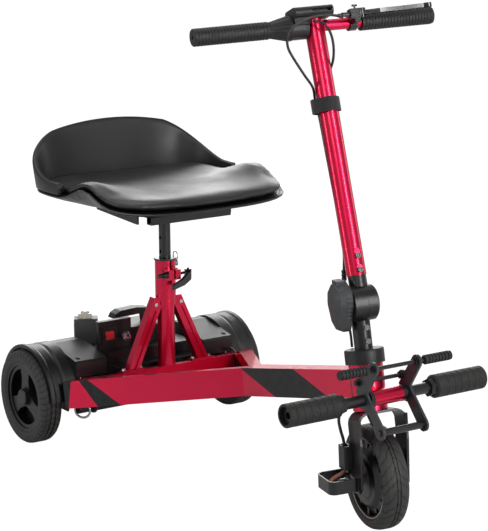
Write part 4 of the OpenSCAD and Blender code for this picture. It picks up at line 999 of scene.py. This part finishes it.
def make_world():
    world = bpy.data.worlds.new("studio")
    bpy.context.scene.world = world
    world.use_nodes = True
    t = world.node_tree
    back = t.nodes["Background"]
    back.inputs["Color"].default_value = (1, 1, 1, 1)
    back.inputs["Strength"].default_value = 0.12
    white = t.nodes.new("ShaderNodeBackground")
    white.inputs["Color"].default_value = (1, 1, 1, 1)
    white.inputs["Strength"].default_value = 1.0
    path = t.nodes.new("ShaderNodeLightPath")
    mix = t.nodes.new("ShaderNodeMixShader")
    # shares of the white background that camera, glossy and transmission rays see
    total = path.outputs["Is Camera Ray"]
    for kind, share in (("Is Glossy Ray", 0.30), ("Is Transmission Ray", 1.0)):
        part = t.nodes.new("ShaderNodeMath")
        part.operation = "MULTIPLY_ADD"
        part.inputs[1].default_value = share
        t.links.new(path.outputs[kind], part.inputs[0])
        t.links.new(total, part.inputs[2])
        total = part.outputs[0]
    t.links.new(total, mix.inputs[0])
    t.links.new(back.outputs[0], mix.inputs[1])
    t.links.new(white.outputs[0], mix.inputs[2])
    t.links.new(mix.outputs[0], t.nodes["World Output"].inputs["Surface"])


make_stage()
make_world()
MIDDLE = (0.0, 0.0, 0.45)
soft_light("key", (-2.6, -2.4, 2.6), MIDDLE, 1.2, 22, size_y=1.2)
soft_light("strip_front", (0.4, -3.4, 1.5), MIDDLE, 0.5, 74, size_y=2.6)
soft_light("strip_left", (-3.3, 0.8, 1.4), MIDDLE, 0.3, 26, size_y=2.4)
soft_light("fill_right", (2.8, -0.6, 1.5), MIDDLE, 0.7, 11, size_y=1.8)
soft_light("top", (0.0, 0.6, 3.0), MIDDLE, 2.2, 24, size_y=1.6)
soft_light("back", (2.2, 3.4, 1.7), MIDDLE, 3.6, 80, size_y=1.6)
bpy.context.scene.view_settings.view_transform = "Standard"

# ---------- where each thing shows --------
def write_points():
    """Where each thing shows in the image frame, by finished vertices that show."""
    pieces = [ob for ob in bpy.context.scene.objects
              if ob.type == "MESH" and not ob.hide_render and ob.name != "floor"]
    verts, faces = finished(pieces)
    tree = BVHTree.FromPolygons(verts, faces)
    eye = camera.matrix_world.translation

    def seen(v):
        hit = tree.ray_cast(eye, (v - eye).normalized())
        return hit[0] is None or hit[3] > (v - eye).length - 0.002

    def spots(obs, axis=None, sign=0, keep=400):
        """Image places of the vertices that show, the outermost ones only where asked."""
        vs = finished(obs)[0]
        pairs = [(show(v), v) for v in vs]
        if axis is not None:
            pairs.sort(key=lambda q: sign * q[0][axis])
            pairs = pairs[:keep]
        return [q for q, v in pairs if seen(v)]

    def middle(obs):
        pts = spots(obs)
        if not pts:
            return None
        xs, ys = [q[0] for q in pts], [q[1] for q in pts]
        return (min(xs) + max(xs)) / 2, (min(ys) + max(ys)) / 2

    def end(obs, axis, sign):
        pts = spots(obs, axis, sign)
        if not pts:
            return None
        best = min(sign * q[axis] for q in pts) * sign
        near = [q for q in pts if abs(q[axis] - best) < 1.5]
        other = sum(q[1 - axis] for q in near) / len(near)
        return (best, other) if axis == 0 else (other, best)

    solid = [ob for ob in pieces if ob.name not in CORDS]
    scene_obs = bpy.context.scene.objects
    shows = {
        "left": end(solid, 0, 1),
        "right": end(solid, 0, -1),
        "top": end(solid, 1, 1),
        "bottom": end(solid, 1, -1),
        "right_grip_end": end([NODES["grips"]], 0, 1),
        "left_grip_end": end([NODES["grips"]], 0, -1),
        "right_hub": show(at((-WHEEL_X - 22, 0, WHEEL_R))),
        "front_guard": end([NODES["guard_loop"]], 0, 1),
        "strap": middle([scene_obs["strap_inner"], scene_obs["strap_loop"]]),
        "stem_screw_upper": middle([scene_obs["stem_screw_1"]]),
        "stem_screw_lower": middle([scene_obs["stem_screw_0"]]),
        "cable_joint": middle([scene_obs["cable_joint"]]),
        "backrest_seam": show(at(band(*roll(seam_turn), math.radians(seam_k)))),
    }


write_points()
